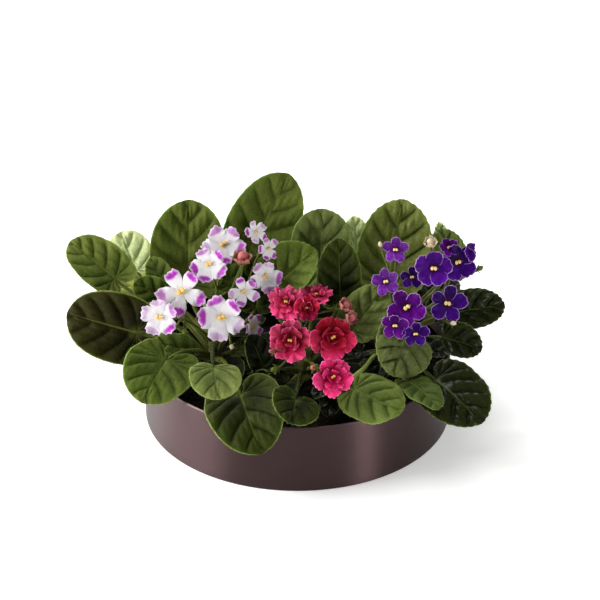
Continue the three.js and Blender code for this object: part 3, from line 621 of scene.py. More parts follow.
class Wires:
    """A node tree being wired up, one plain step at a time."""

    def __init__(self, tree):
        self.nodes, self.links = tree.nodes, tree.links

    def put(self, kind, inputs=(), **settings):
        """Adds a node; a socket among its inputs is linked, and any other value is set."""
        node = self.nodes.new(kind)
        for name, value in settings.items():
            setattr(node, name, value)
        for key, value in dict(inputs).items():
            if isinstance(value, bpy.types.NodeSocket):
                self.links.new(value, node.inputs[key])
            else:
                node.inputs[key].default_value = value
        return node

    def math(self, operation, *values):
        return self.put("ShaderNodeMath", dict(enumerate(values)), operation=operation).outputs[0]

    def vector(self, operation, *values):
        node = self.put("ShaderNodeVectorMath", dict(enumerate(values)), operation=operation)
        return node.outputs["Value" if operation == "LENGTH" else "Vector"]

    def ramp(self, value, low, high, start=0.0, end=1.0):
        """Smooth step of a value: start below low, end above high."""
        return self.put("ShaderNodeMapRange", {
            "Value": value, "From Min": low, "From Max": high, "To Min": start, "To Max": end,
        }, interpolation_type="SMOOTHSTEP").outputs["Result"]

    def mix(self, factor, low, high, blend="MIX"):
        """Mixes two colours, through the sockets that this node has for colours."""
        def colour(value):
            return value if isinstance(value, bpy.types.NodeSocket) else (*value, 1)
        return self.put("ShaderNodeMix", {0: factor, 6: colour(low), 7: colour(high)},
                        data_type="RGBA", blend_type=blend).outputs[2]

    def tint(self, colour, other, mask, strength):
        """Moves a colour towards another where a mask is high."""
        return self.mix(self.math("MULTIPLY", mask, strength), colour, other)

    def use(self, name, inputs):
        """Places a shader node group with its own values."""
        group = bpy.data.node_groups[name]
        return self.put("ShaderNodeGroup", inputs, node_tree=group).outputs

    def read(self, name):
        return self.put("ShaderNodeAttribute", attribute_name=name)

    def noise(self, place, scale, detail=2.0):
        return self.put("ShaderNodeTexNoise", {
            "Vector": place, "Scale": scale, "Detail": detail}).outputs["Fac"]

    def cells(self, place, scale, feature="DISTANCE_TO_EDGE"):
        return self.put("ShaderNodeTexVoronoi", {
            "Vector": place, "Scale": scale}, feature=feature).outputs["Distance"]

    def bump(self, height, strength, distance):
        return self.put("ShaderNodeBump", {
            "Height": height, "Strength": strength, "Distance": distance}).outputs["Normal"]


def sockets(kind, *labels):
    """Names of group sockets of one kind, with that kind."""
    return [(label, f"NodeSocket{kind}") for label in labels]


def effect(name, inputs, outputs):
    """A new shader node group with named sockets. Returns its wires, its inputs and its outputs."""
    tree = bpy.data.node_groups.new(name, "ShaderNodeTree")
    for label, kind in inputs:
        tree.interface.new_socket(label, in_out="INPUT", socket_type=kind)
    for label, kind in outputs:
        tree.interface.new_socket(label, in_out="OUTPUT", socket_type=kind)
    wires = Wires(tree)
    return wires, wires.put("NodeGroupInput").outputs, wires.put("NodeGroupOutput").inputs


def veins_effect():
    """Midrib, side veins that bend towards the tip, a fine net between them, and the margin."""
    name = "blade_veins"
    if name in bpy.data.node_groups:
        return
    w, given, out = effect(
        name, sockets("Vector", "Grow", "Flat") + sockets("Float", "Net Scale"),
        sockets("Float", "Midrib", "Side Veins", "Hollow", "Net", "Margin", "Junction", "Outer",
                "Upper Face", "Blade", "Height"))
    grow = w.put("ShaderNodeSeparateXYZ", {0: given["Grow"]}).outputs
    flat = w.put("ShaderNodeSeparateXYZ", {0: given["Flat"]}).outputs
    wobble = w.math("MULTIPLY_ADD", w.noise(given["Flat"], 90.0), 0.16, -0.08)
    across = w.math("ABSOLUTE", grow["X"])
    count = w.math("ADD", grow["Y"], wobble)
    part = w.math("FRACT", count)
    nearest = w.math("MINIMUM", part, w.math("SUBTRACT", 1.0, part))
    fade = w.ramp(across, 0.8, 0.98, 1.0, 0.0)
    side = w.math("MULTIPLY", w.ramp(nearest, 0.0, 0.12, 1.0, 0.0), fade)
    midrib = w.ramp(across, 0.012, 0.05, 1.0, 0.0)
    cells = w.cells(given["Flat"], given["Net Scale"])
    place = w.put("ShaderNodeCombineXYZ", {0: flat["X"], 1: flat["Y"]}).outputs[0]
    low = w.math("MULTIPLY", w.math("MAXIMUM", side, midrib), -0.55)
    pads = w.math("MULTIPLY", w.ramp(cells, 0.0, 0.45), 0.4)
    blade = w.ramp(grow["Z"], 0.1, 0.4)
    masks = {
        "Midrib": midrib,
        "Side Veins": side,
        # Painted shade in the hollows beside the sunken veins
        "Hollow": w.math("MULTIPLY", w.ramp(nearest, 0.0, 0.34, 1.0, 0.0), fade),
        "Net": w.ramp(cells, 0.0, 0.16, 1.0, 0.0),
        "Margin": w.ramp(across, 0.95, 1.0),
        "Junction": w.ramp(w.vector("LENGTH", place), 0.001, 0.008, 1.0, 0.0),
        "Outer": w.math("MAXIMUM", w.ramp(across, 0.35, 0.95), w.ramp(grow["Y"], 4.2, 7.4)),
        "Height": w.math("ADD", low, pads),
    }
    for label, mask in masks.items():
        w.links.new(w.math("MULTIPLY", mask, blade), out[label])
    w.links.new(w.ramp(grow["Z"], 0.6, 0.9), out["Upper Face"])
    w.links.new(blade, out["Blade"])


def velvet_effect():
    """Short dense hairs on a skin: light flecks, soft patches and a fine nap."""
    name = "velvet_hairs"
    if name in bpy.data.node_groups:
        return
    w, given, out = effect(
        name, sockets("Vector", "Flat") + sockets("Float", "Nap Scale"),
        sockets("Float", "Fleck", "Patch", "Mottle", "Height"))
    fine = w.noise(given["Flat"], given["Nap Scale"], 1.0)
    w.links.new(w.ramp(fine, 0.5, 0.72), out["Fleck"])
    w.links.new(w.ramp(w.noise(given["Flat"], 60.0, 3.0), 0.3, 0.7), out["Patch"])
    w.links.new(w.ramp(w.noise(given["Flat"], 420.0, 2.0), 0.36, 0.64), out["Mottle"])
    w.links.new(w.math("MULTIPLY", fine, 0.2), out["Height"])


def petal_effect():
    """Marks of a petal: its tip, its thin margin, its eye, its veins and its sparkling skin."""
    name = "petal_marks"
    if name in bpy.data.node_groups:
        return
    w, given, out = effect(
        name, sockets("Vector", "Grow", "Flat") + sockets("Float", "Tip Centre"),
        sockets("Float", "Tip", "Margin", "Eye", "Streak", "Outer", "Patch", "Petal", "Height"))
    grow = w.put("ShaderNodeSeparateXYZ", {0: given["Grow"]}).outputs
    uneven = w.math("MULTIPLY_ADD", w.noise(given["Flat"], 240.0, 3.0), 0.7, -0.35)
    ahead = w.math("DIVIDE", w.math("SUBTRACT", grow["X"], given["Tip Centre"]), 0.24)
    beside = w.math("DIVIDE", grow["Y"], 0.95)
    away = w.vector("LENGTH", w.put("ShaderNodeCombineXYZ", {0: ahead, 1: beside}).outputs[0])
    spot = w.ramp(w.math("ADD", away, uneven), 0.75, 1.25, 1.0, 0.0)
    pale_edge = w.ramp(grow["Z"], 0.84, 0.99, 1.0, 0.5)
    fan = w.math("DIVIDE", grow["Y"], w.math("ADD", grow["X"], 0.2))
    rays = w.math("SINE", w.math("MULTIPLY", fan, 30.0))
    skin = w.noise(given["Flat"], 1400.0, 1.0)
    petal = w.ramp(grow["Z"], 0.1, 0.4)
    masks = {
        "Tip": w.math("MULTIPLY", spot, pale_edge),
        "Margin": w.ramp(grow["Z"], 0.94, 1.0),
        "Eye": w.ramp(grow["X"], 0.08, 0.42, 1.0, 0.0),
        "Streak": w.ramp(rays, 0.2, 1.0),
        "Outer": w.ramp(grow["X"], 0.4, 0.95),
    }
    for label, mask in masks.items():
        w.links.new(w.math("MULTIPLY", mask, petal), out[label])
    w.links.new(w.ramp(w.noise(given["Flat"], 300.0, 2.0), 0.35, 0.65), out["Patch"])
    w.links.new(petal, out["Petal"])
    height = w.math("ADD", w.math("MULTIPLY", skin, 0.3), w.math("MULTIPLY", rays, 0.12))
    w.links.new(height, out["Height"])


def new_finish(name, **shader):
    """A material with one Principled shader, its constant values set on its own sockets."""
    material = bpy.data.materials.new(name)
    material.use_nodes = True
    wires = Wires(material.node_tree)
    skin = wires.nodes["Principled BSDF"]
    for key, value in shader.items():
        skin.inputs[key.replace("_", " ")].default_value = value
    return material, wires, skin.inputs


def leaf_finish(plant, look):
    """Blade skin of one plant: velvety on the left, fresher in the middle, glossy on the right."""
    name = f"leaf_skin_{plant}"
    if name in bpy.data.materials:
        return bpy.data.materials[name]
    veins_effect()
    velvet_effect()
    rough, sheen, net, shade, glow, relief, specular = LEAF_FINISH[plant]
    material, w, skin = new_finish(
        name, Specular_IOR_Level=specular, Sheen_Weight=sheen, Sheen_Roughness=0.4,
        Sheen_Tint=(*paint(200, 220, 140), 1), Subsurface_Weight=0.12,
        Subsurface_Radius=(0.6, 1.0, 0.25), Subsurface_Scale=0.003)
    grow, flat = w.read("grow").outputs["Vector"], w.read("flat").outputs["Vector"]
    own = w.read("tone").outputs
    tone, edge = own["Color"], own["Alpha"]
    veins = w.use("blade_veins", {"Grow": grow, "Flat": flat, "Net Scale": net})
    velvet = w.use("velvet_hairs", {"Flat": flat, "Nap Scale": 900.0})
    darker = w.mix(1.0, tone, (0.42, 0.46, 0.34), "MULTIPLY")
    lighter = w.mix(1.0, tone, (2.4, 2.3, 2.0), "MULTIPLY")
    groove_shade = w.mix(1.0, tone, (0.2, 0.22, 0.14), "MULTIPLY")
    colour = w.tint(tone, darker, velvet["Patch"], 0.45)
    colour = w.tint(colour, darker, velvet["Mottle"], 0.22)
    # Lighter towards the margin and tip by the tone's edge value: painted shade over the middle of
    # the shadowed and deep blades
    colour = w.tint(colour, lighter, veins["Outer"], edge)
    # Painted shade in the hollows beside the sunken veins
    hollow_shade = w.mix(1.0, colour, (0.5, 0.54, 0.42), "MULTIPLY")
    colour = w.tint(colour, hollow_shade, veins["Hollow"], 0.25)
    # Dark lines along the side veins and the net: painted shade in their sunken grooves
    lines = w.math("MAXIMUM", veins["Side Veins"], w.math("MULTIPLY", veins["Net"], 0.3))
    colour = w.tint(colour, groove_shade, lines, shade)
    colour = w.tint(colour, look.vein, veins["Midrib"], 0.16)
    colour = w.tint(colour, look.vein, veins["Junction"], 0.4 * glow)
    colour = w.tint(colour, lighter, velvet["Fleck"], 0.2)
    under = w.mix(0.6, tone, look.under)
    ribs = w.math("MAXIMUM", veins["Side Veins"], veins["Midrib"])
    under = w.tint(under, look.vein, ribs, 0.5)
    colour = w.mix(veins["Upper Face"], under, colour)
    # Pale margin: partly the hairs, partly painted backlight glow
    colour = w.tint(colour, look.rim, veins["Margin"], glow)
    stalk = w.tint(tone, darker, velvet["Patch"], 0.4)
    stalk = w.tint(stalk, look.rim, velvet["Fleck"], 0.2)
    colour = w.mix(veins["Blade"], stalk, colour)
    w.links.new(colour, skin["Base Color"])
    uneven = w.math("ADD", velvet["Patch"], veins["Side Veins"])
    w.links.new(w.ramp(uneven, 0.0, 1.6, rough, rough + 0.2), skin["Roughness"])
    height = w.math("ADD", veins["Height"], velvet["Height"])
    w.links.new(w.bump(height, relief, 0.0007), skin["Normal"])
    return material


def petal_finish(kind, look):
    """Petal skin of one kind of bloom: white with magenta tips, violet or pink."""
    name = f"petal_skin_{kind}"
    if name in bpy.data.materials:
        return bpy.data.materials[name]
    petal_effect()
    material, w, skin = new_finish(
        name, Specular_IOR_Level=0.05, Subsurface_Weight=0.15,
        Subsurface_Radius=(1.0, 0.7, 0.9), Subsurface_Scale=0.002)
    grow, flat = w.read("grow").outputs["Vector"], w.read("flat").outputs["Vector"]
    own = w.read("tone").outputs
    tone, mark = own["Color"], own["Alpha"]
    marks = w.use("petal_marks", {"Grow": grow, "Flat": flat, "Tip Centre": 0.87})
    if kind == "white":
        # Faint violet streaks and patches: partly a lilac flush, partly painted soft shade
        colour = w.tint(tone, look.tip, marks["Streak"], 0.03)
        colour = w.tint(colour, look.tip, marks["Patch"], 0.05)
        colour = w.tint(colour, paint(200, 196, 160), marks["Eye"], 0.35)
        colour = w.tint(colour, look.tip, marks["Tip"], mark)
        colour = w.tint(colour, look.white, marks["Margin"], 0.15)
    elif kind == "purple":
        darker = w.mix(1.0, tone, (0.5, 0.4, 0.6), "MULTIPLY")
        colour = w.tint(tone, darker, marks["Streak"], 0.35)
        colour = w.tint(colour, darker, marks["Patch"], 0.7)
        # Darker inner half and centre of each petal: painted shade near the eye and between the
        # petals
        inner = w.mix(1.0, colour, (0.72, 0.5, 0.8), "MULTIPLY")
        colour = w.mix(marks["Outer"], inner, colour)
        colour = w.tint(colour, paint(34, 2, 24), marks["Eye"], 0.9)
        rim = w.math("MULTIPLY_ADD", marks["Patch"], 0.5, 0.3)
        colour = w.tint(colour, look.lilac_rim, marks["Margin"], rim)
    else:
        colour = w.tint(tone, look.heart, marks["Streak"], 0.12)
        colour = w.tint(colour, look.heart, marks["Patch"], 0.3)
        # Darker inner half and heart: painted shade in the folds and between the petals of the
        # double bloom
        inner = w.mix(1.0, colour, (0.5, 0.25, 0.3), "MULTIPLY")
        colour = w.mix(marks["Outer"], inner, colour)
        colour = w.tint(colour, look.heart, marks["Eye"], 0.85)
        light = w.math("MULTIPLY", mark, marks["Outer"])
        colour = w.tint(colour, look.pink_rim, light, 0.24)
        edge = w.math("MULTIPLY", light, marks["Margin"])
        colour = w.tint(colour, look.pink_rim, edge, 0.8)
    colour = w.mix(marks["Petal"], tone, colour)
    w.links.new(colour, skin["Base Color"])
    w.links.new(w.ramp(marks["Streak"], 0.0, 1.0, 0.42, 0.55), skin["Roughness"])
    w.links.new(w.bump(marks["Height"], 0.3, 0.0004), skin["Normal"])
    return material


def dish_finish(look):
    """Satin coated metal, a little cloudy, lighter along the rim: partly wear, partly a painted
    highlight.
    """
    material, w, skin = new_finish(
        "dish_metal", Metallic=0.85, Anisotropic=0.9, Anisotropic_Rotation=0.25)
    place = w.put("ShaderNodeTexCoord").outputs["Object"]
    cloud = w.ramp(w.noise(place, 26.0, 4.0), 0.3, 0.7)
    grain = w.noise(w.vector("MULTIPLY", place, (16.0, 16.0, 900.0)), 9.0, 1.0)
    height = w.put("ShaderNodeSeparateXYZ", {0: place}).outputs["Z"]
    edge = w.ramp(height, look.height - 0.0012, look.height - 0.0001)
    # Lighter along the rim: partly wear, partly a painted highlight
    wear_and_highlight_mask = w.math("MULTIPLY", edge, w.ramp(cloud, 0.0, 1.0, 0.55, 1.0))
    darker = tuple(0.88 * c for c in look.metal)
    colour = w.tint(look.metal, darker, cloud, 0.6)
    w.links.new(w.mix(wear_and_highlight_mask, colour, look.rim_wear_and_highlight), skin["Base Color"])
    w.links.new(w.math("MULTIPLY_ADD", grain, 0.1, 0.36), skin["Roughness"])
    w.links.new(w.bump(grain, 0.1, 0.0003), skin["Normal"])
    return material


def soil_finish(look):
    """Moist peaty soil with drier crumbs."""
    material, w, skin = new_finish("soil_crumbs", Specular_IOR_Level=0.08)
    place = w.put("ShaderNodeTexCoord").outputs["Object"]
    grit = w.cells(place, 520.0, "F1")
    damp = w.noise(place, 70.0, 4.0)
    dry = w.ramp(w.math("SUBTRACT", damp, w.math("MULTIPLY", grit, 0.3)), 0.3, 0.6)
    w.links.new(w.mix(dry, look.dark, look.light), skin["Base Color"])
    w.links.new(w.ramp(damp, 0.2, 0.8, 0.8, 1.0), skin["Roughness"])
    w.links.new(w.bump(w.math("SUBTRACT", damp, grit), 0.8, 0.001), skin["Normal"])
    return material


# Leaves

def blade_axes(heading, pitch, roll):
    """Directions of a blade: along the midrib, out of the upper face, and to its right side."""
    a, p, r = np.radians((heading, pitch, roll))
    along = np.array((math.cos(a) * math.cos(p), math.sin(a) * math.cos(p), math.sin(p)))
    up = np.array((-math.cos(a) * math.sin(p), -math.sin(a) * math.sin(p), math.cos(p)))
    side = np.cross(along, up)
    return along, up * math.cos(r) + side * math.sin(r), side * math.cos(r) - up * math.sin(r)


def read_leaf(row):
    """One row of the leaf table with the directions of its blade."""
    keys = "name plant x y z heading pitch roll length width droop cup lobe start_z tone"
    leaf = SimpleNamespace(**dict(zip(keys.split(), row)))
    leaf.along, leaf.up, leaf.side = blade_axes(leaf.heading, leaf.pitch, leaf.roll)
    leaf.junction = np.array((leaf.x, leaf.y, leaf.z), float)
    leaf.seed = sum(ord(c) * (i + 1) for i, c in enumerate(leaf.name))
    leaf.veins = 5 + (leaf.length >= SMALL_BLADE) + (leaf.length >= LARGE_BLADE)
    return leaf


def blade_flat(leaf, u, v):
    """Flat blade: u runs from the midrib to the margin, v from the notch to the tip."""
    phi = v * math.pi
    pinch = 1 - 0.45 * np.exp(-((phi / 0.45) ** 2)) * min(1, leaf.lobe / 0.3)
    out = np.sin(phi) * pinch * leaf.width / 2
    far = (1 - np.cos(phi)) / 2 - leaf.lobe * 2.2 * np.sin(phi) * (1 - v) ** 2
    far = (far * 0.96 + 0.04 * v ** 7) * leaf.length
    slant = 1.25 * np.clip((phi - 0.8) / (math.pi - 0.8), 0, 1) ** 0.6
    root = np.maximum(0, far - slant * out)
    return out * u, root + (far - root) * u ** 1.5


def blade_point(leaf, x, y, lift):
    """Points of the bent and cupped blade, lifted off its middle surface."""
    x, y, lift = np.broadcast_arrays(x, y, lift)
    k = math.radians(leaf.droop) / leaf.length
    s = np.maximum(0, y)
    forward = np.where(y > 0, np.sin(k * s) / k, y)
    down = np.where(y > 0, -(1 - np.cos(k * s)) / k, 0)
    h = 2 * x / leaf.width
    back = np.clip(-y / (0.12 * leaf.length), 0, 3)
    z = leaf.cup * h * h + 2 * np.abs(h) + 1.5 * back ** 1.5
    z = z + np.sin(np.arctan2(x, y - 0.35 * leaf.length) * 5) * h * h + lift
    turn = -k * s
    return (leaf.junction + (forward - z * np.sin(turn))[..., None] * leaf.along
            + (down + z * np.cos(turn))[..., None] * leaf.up + x[..., None] * leaf.side)


def add_blade(form, leaf, look):
    """The quilted blade with sunken veins, a toothed margin and fine hairs."""
    rng = np.random.default_rng(leaf.seed)
    quilt, teeth, blister = BLADE_STYLE.get(leaf.name, BLADE_STYLE[leaf.plant])
    quilt *= look.quilting
    half = np.array(SMALL_BLADE_STEPS if leaf.length < SMALL_BLADE else BLADE_STEPS)
    signed = np.concatenate([-half[:0:-1], half])[None]
    u, bands = np.abs(signed), leaf.veins + 1
    v = np.linspace(0, 1, BAND_ROWS * bands + 1)[:, None]
    x, y = blade_flat(leaf, u, v)
    step = 0.3 / bands
    low, high = np.clip(v - step, 0, 1), np.clip(v + step, 0, 1)
    near, far = blade_flat(leaf, u, low), blade_flat(leaf, u, high)
    spacing = np.hypot(far[0] - near[0], far[1] - near[1]) / ((high - low) * bands)
    notch = (np.abs(np.sin(math.pi * 2 * bands * v + 0.3)) - 0.6) * teeth * ease(0.7, 1, u)
    grown = 1 + notch * ease(0, 0.06, v) * ease(0, 0.04, 1 - v) / (leaf.width / 2)
    middle = 0.45 * leaf.length
    x, y = x * grown * np.sign(signed + 1e-9), middle + (y - middle) * grown
    count = v * bands + 0.375 * (signed < 0)
    part = np.abs(2 * (count % 1) - 1)
    inside = ease(0.02, 0.2, u) * (1 - ease(0.78, 1, u))
    pads = (1 - part ** 2.4 - 0.55) * quilt * spacing * inside
    across = np.abs(x) / 5.2 + 0.5 * (np.floor(count) % 2)
    bubble = 0.5 - np.abs(2 * (across % 1) - 1) ** 2
    pads = pads + bubble * blister * quilt * spacing * inside * (1 - part ** 3)
    ends = ease(0, 0.05, v) * ease(0, 0.1, 1 - v)
    phase = rng.uniform(0, 6.28, 3)
    sway = 0.5 * u * u * np.sin(2.3 * math.pi * v * np.sign(signed) + phase[0])
    sway = sway + 0.35 * u ** 3 * np.sin(6.5 * math.pi * v + phase[1] * np.sign(signed))
    fade = 1 - 0.75 * np.clip(y / leaf.length, 0, 1)
    groove = 0.55 * np.exp(-(x / 0.9) ** 2) * fade
    keel = 1.15 * np.exp(-(x / 1.1) ** 2) * fade * ease(0, 0.03, v)
    body = look.thickness / MM / 2 * np.sqrt(np.clip(1 - u ** 8, 0, 1))
    body = body * (1 - 0.5 * ease(0.97, 1, v))
    tone = np.array(getattr(look, leaf.tone))
    rows, cols = x.shape
    faces = sheet_faces(rows, cols)
    flat = np.stack([x * MM, y * MM, 0 * x + leaf.seed * 0.013], -1)
    relief = (pads + sway) * ends
    for face, lift in ((1.0, relief + body - groove), (0.5, relief - body - keel)):
        grow = np.stack([signed + 0 * x, count + 0 * x, 0 * x + face], -1)
        points = blade_point(leaf, x, y, lift)
        form.add(points, faces if face == 1 else faces[:, ::-1], grow=grow, flat=flat, tone=tone,
                 mark=EDGE_LIGHT.get(leaf.tone, PLAIN_EDGE_LIGHT))
        if face == 1:
            top = points
    number = int(look.hairs * leaf.length / 10)
    # Margin hairs in the pale rim colour, strongly on the forest, pale and fresh leaves: partly
    # pale hairs, partly painted backlight glow
    pale_edge = 0.8 if leaf.tone in ("forest", "pale", "fresh") else 0.15
    edge_tone = tone + (np.array(look.rim) - tone) * pale_edge
    for edge, inner in ((0, 2), (cols - 1, cols - 3)):
        spots = rng.uniform(1, rows - 2, number)
        whole, rest = spots.astype(int), (spots % 1)[:, None]
        roots = top[whole, edge] * (1 - rest) + top[whole + 1, edge] * rest
        ways = unit(top[whole, edge] - top[whole, inner])
        hairs(form, roots, ways, look.hair / MM, 0.055, rng, tone=edge_tone)


def petiole_path(leaf, offset):
    """From the crown up and out to the blade, then on under the start of the midrib."""
    cx, cy = CROWNS[leaf.plant]
    out = unit((leaf.x - cx, leaf.y - cy, 0))
    taper = (CROWN_RADIUS - CROWN_TOP_RADIUS) / (CROWN_TOP - CROWN_BOTTOM)
    surface = CROWN_RADIUS - taper * (leaf.start_z - CROWN_BOTTOM)
    start = np.array((cx, cy, leaf.start_z)) + out * (surface + offset)
    end = blade_point(leaf, 0.0, 0.0, -0.5 * SOLID_LEAF - 0.8)
    reach = np.linalg.norm(end - start)
    rise = unit(np.array((0, 0, 0.9)) + 0.75 * out)
    handle, tail = start + rise * reach * 0.33, end - leaf.along * reach * 0.3
    t = np.array((0, 0.33, 0.66, 1))[:, None]
    curve = (1 - t) ** 3 * start + 3 * (1 - t) ** 2 * t * handle
    curve = curve + 3 * (1 - t) * t * t * tail + t ** 3 * end
    return np.vstack([curve, blade_point(leaf, 0.0, leaf.length * 0.2, -0.9)])


def add_petiole(form, leaf, offset, look, rng):
    """The fleshy leaf stalk, tapering to the blade."""
    tone = getattr(look, PETIOLE_PAINTED_LIGHT_AND_SHADE.get(leaf.name, "petiole"))
    path = spline(petiole_path(leaf, offset), STALK_RINGS)
    along = np.linspace(0, 1, STALK_RINGS)
    radii = np.interp(along, np.linspace(0, 1, len(PETIOLE_RADII)), PETIOLE_RADII)
    hairy_tube(form, path, radii, 10, 60, look.hair / MM, 0.04, rng, tone)


# Blooms

def bloom_axes(azimuth, elevation, turn):
    """Directions of a bloom: the way it faces, and two across it."""
    a, e, t = np.radians((azimuth, elevation, turn))
    face = np.array((math.cos(e) * math.sin(a), -math.cos(e) * math.cos(a), math.sin(e)))
    u = unit(np.cross((0, 0, 1), face))
    v = np.cross(face, u)
    return face, u * math.cos(t) + v * math.sin(t), v * math.cos(t) - u * math.sin(t)


def add_petal(form, centre, axes, angle, length, width, rng, bend=0.3, ruffle=0.0, waves=5,
              frill=0.0, step=0.3, lift=0.0, thickness=0.6, curl=0.0, tip=4.0, broad=0.5,
              rings=8, sides=30, tone=(1, 1, 1), petal=1.0, seed=0.0, mark=1.0):
    """One petal or sepal, bent along its length, with a waved and frilled margin."""
    face, u, v = axes
    out = math.cos(angle) * u + math.sin(angle) * v
    across = np.cross(out, face)
    phase = rng.uniform(0, 6.28, 3)
    theta = np.linspace(0, 2 * math.pi, sides, endpoint=False)[None]
    rho = np.sin(np.linspace(0, math.pi / 2, rings + 1))[:, None]
    far = (1 + np.cos(theta)) / 2
    edge = width * 1.1 * far ** broad * np.sqrt(np.clip(1 - far ** tip, 0, 1))
    edge = edge * np.sign(np.sin(theta))
    notch = np.sin((2 * waves + 3) * theta + phase[2]) + 0.6 * np.sin(4 * theta + phase[0])
    notch = 1 + frill * far * notch
    t = 0.5 + rho * (far * notch - 0.5)
    w = rho * edge * notch
    wave = np.sin(waves * theta + phase[0]) + 0.5 * np.sin((2 * waves + 1) * theta + phase[1])
    turn = bend * t
    level = length * np.sin(turn) / bend
    rise = length * (1 - np.cos(turn)) / bend - curl * length * t ** 4
    rise = rise + lift + step * t * w / width + ruffle * length * wave * far * rho ** 2.5
    body = thickness / 2 * np.sqrt(np.clip(1 - rho ** 8, 0, 1))
    faces = ring_faces(rings + 1, sides)
    grow = np.stack([t, w / (0.8 * width), petal * (0.5 + 0.5 * rho) + 0 * w], -1)
    flat = np.stack([t * length * MM, w * length * MM, seed + angle + 0 * w], -1)
    for sign in (1, -1):
        points = (centre + level[..., None] * out + (w * length)[..., None] * across
                  + (rise + sign * body)[..., None] * face)
        form.add(points, faces[:, ::sign], grow=grow, flat=flat, tone=tone, mark=mark)


def add_bloom(form, row, look, seed):
    """One bloom: its petals, two pollen sacs and the style."""
    x, y, z, azimuth, elevation, turn, radius, tone = row
    rng = np.random.default_rng(seed)
    centre, axes = np.array((x, y, z), float), bloom_axes(azimuth, elevation, turn)
    face, u, v = axes
    plain_tone = tone.split("_")[0]
    colour = np.array(getattr(look, plain_tone))
    breadth, base, blunt, ruffle, frill = PETAL_STYLE.get(tone, PETAL_STYLE[plain_tone])
    ruffle *= look.ruffle
    double, white = tone in PINK_LIGHT, plain_tone == "white"
    common = dict(thickness=look.thickness / MM, frill=frill, broad=base, tip=blunt)
    for k in range(5):
        angle = math.radians(90 + 72 * k) + rng.normal(0, 0.07)
        upper = math.sin(angle + math.radians(turn))
        size = radius * (rng.uniform(0.86, 0.94) if upper > 0.5 else rng.uniform(0.97, 1.06))
        shade = colour * (rng.uniform(0.88, 1.06) if white else rng.uniform(0.7, 1.3))
        mark = rng.choice(TIP_STRENGTHS)
        # Painted light and shade by the way a petal faces: lower petals of a double bloom move
        # towards cerise and keep lighter outer parts, upper ones keep darker ones
        if double:
            shade = shade + max(0, -upper) * 0.6 * (np.array(look.cerise) - shade)
            mark = np.clip(PINK_LIGHT[tone] - 0.4 * upper, 0.05, 1.3)
        # Painted shade: upper petals of the violet and pink blooms darker
        if not white:
            shade = shade * (0.92 - 0.32 * upper)
        add_petal(form, centre, axes, angle, size, breadth * rng.uniform(0.94, 1.08), rng,
                  bend=rng.uniform(0.12, 0.55), ruffle=ruffle, waves=6 if double else 4, step=0.45,
                  curl=rng.uniform(0, 0.07), sides=44 if double else 30, tone=np.clip(shade, 0, 1),
                  seed=seed * 0.37, mark=mark, **common)
    if double:
        for ring, (number, reach, bend, lift) in enumerate(INNER_WHORLS):
            start = rng.uniform(0, 6.28)
            for k in range(number):
                angle = start + 2 * math.pi * k / number + rng.normal(0, 0.3)
                # Painted shade: inner petals darker deep in the bloom, and darker still towards its
                # top
                shade = colour * rng.uniform(0.5, 0.9) * (1 - 0.2 * math.sin(angle))
                add_petal(form, centre, axes, angle, radius * reach * rng.uniform(0.7, 1.1),
                          breadth * rng.uniform(0.8, 1.1), rng, bend=bend * rng.uniform(0.7, 1.3),
                          ruffle=1.3 * ruffle, waves=5, step=0.4, lift=lift, sides=36, tone=shade,
                          seed=seed * 0.37 + 3 * ring + 3, mark=0.6 * PINK_LIGHT[tone], **common)
    size = radius * (0.06 if double else 0.095)
    gold = np.array(look.cream if plain_tone in VIOLET_TONES else look.anther)
    for sign in (-1, 1):
        spot = centre + face * (size * 0.9 + (1.6 if double else 0.3)) + u * sign * size * 0.85
        axes_here = (unit(u + 0.25 * sign * v), unit(v - 0.25 * sign * u), face)
        lobe(form, spot, axes_here, (size * 0.95, size * 1.15, size * 0.8), dent=0.25,
             tone=gold * rng.uniform(0.9, 1.05))
    bend = centre + face * size * 1.2 + u * size
    path = spline([centre, bend, centre + face * size * 2.2 + u * size * 2.4], 6)
    tube(form, path, np.full(6, 0.28), 6, tone=colour * 0.8 + 0.1)


# Stems

def add_sepal(form, seat, axes, angle, length, bend, lift, look, rng):
    """One narrow green sepal."""
    add_petal(form, seat, axes, angle, length, 0.2, rng, bend=bend, lift=lift, step=0.1,
              thickness=0.5, tip=2.5, rings=4, sides=12, tone=look.stalk, petal=0.0)


def add_bud(form, tip, way, size, petals, look, rng):
    """A bud in its sepals, closed while small, with crumpled petals showing when large."""
    across = unit(np.cross(way, (0.2, 0.3, 1)))
    axes = (way, across, np.cross(way, across))
    half = size * (0.3 if size < OPENING_BUD else 0.36)
    lobe(form, tip + way * size * 0.45, (across, axes[2], way), (half, half, size * 0.5),
         rings=9, sides=12, tone=petals)
    if size >= OPENING_BUD:
        for k in range(6):
            add_petal(form, tip + way * size * 0.12, axes, 1.05 * k, size * rng.uniform(0.85, 1.05),
                      0.5, rng, bend=rng.uniform(1.3, 1.9), ruffle=0.09, waves=5, frill=0.05,
                      rings=6, sides=26, tone=petals * rng.uniform(0.7, 1.15), petal=0.0)
    for k in range(5):
        add_sepal(form, tip, axes, 1.2566 * k + 0.3, size * 0.8, 1.25, -0.2, look, rng)


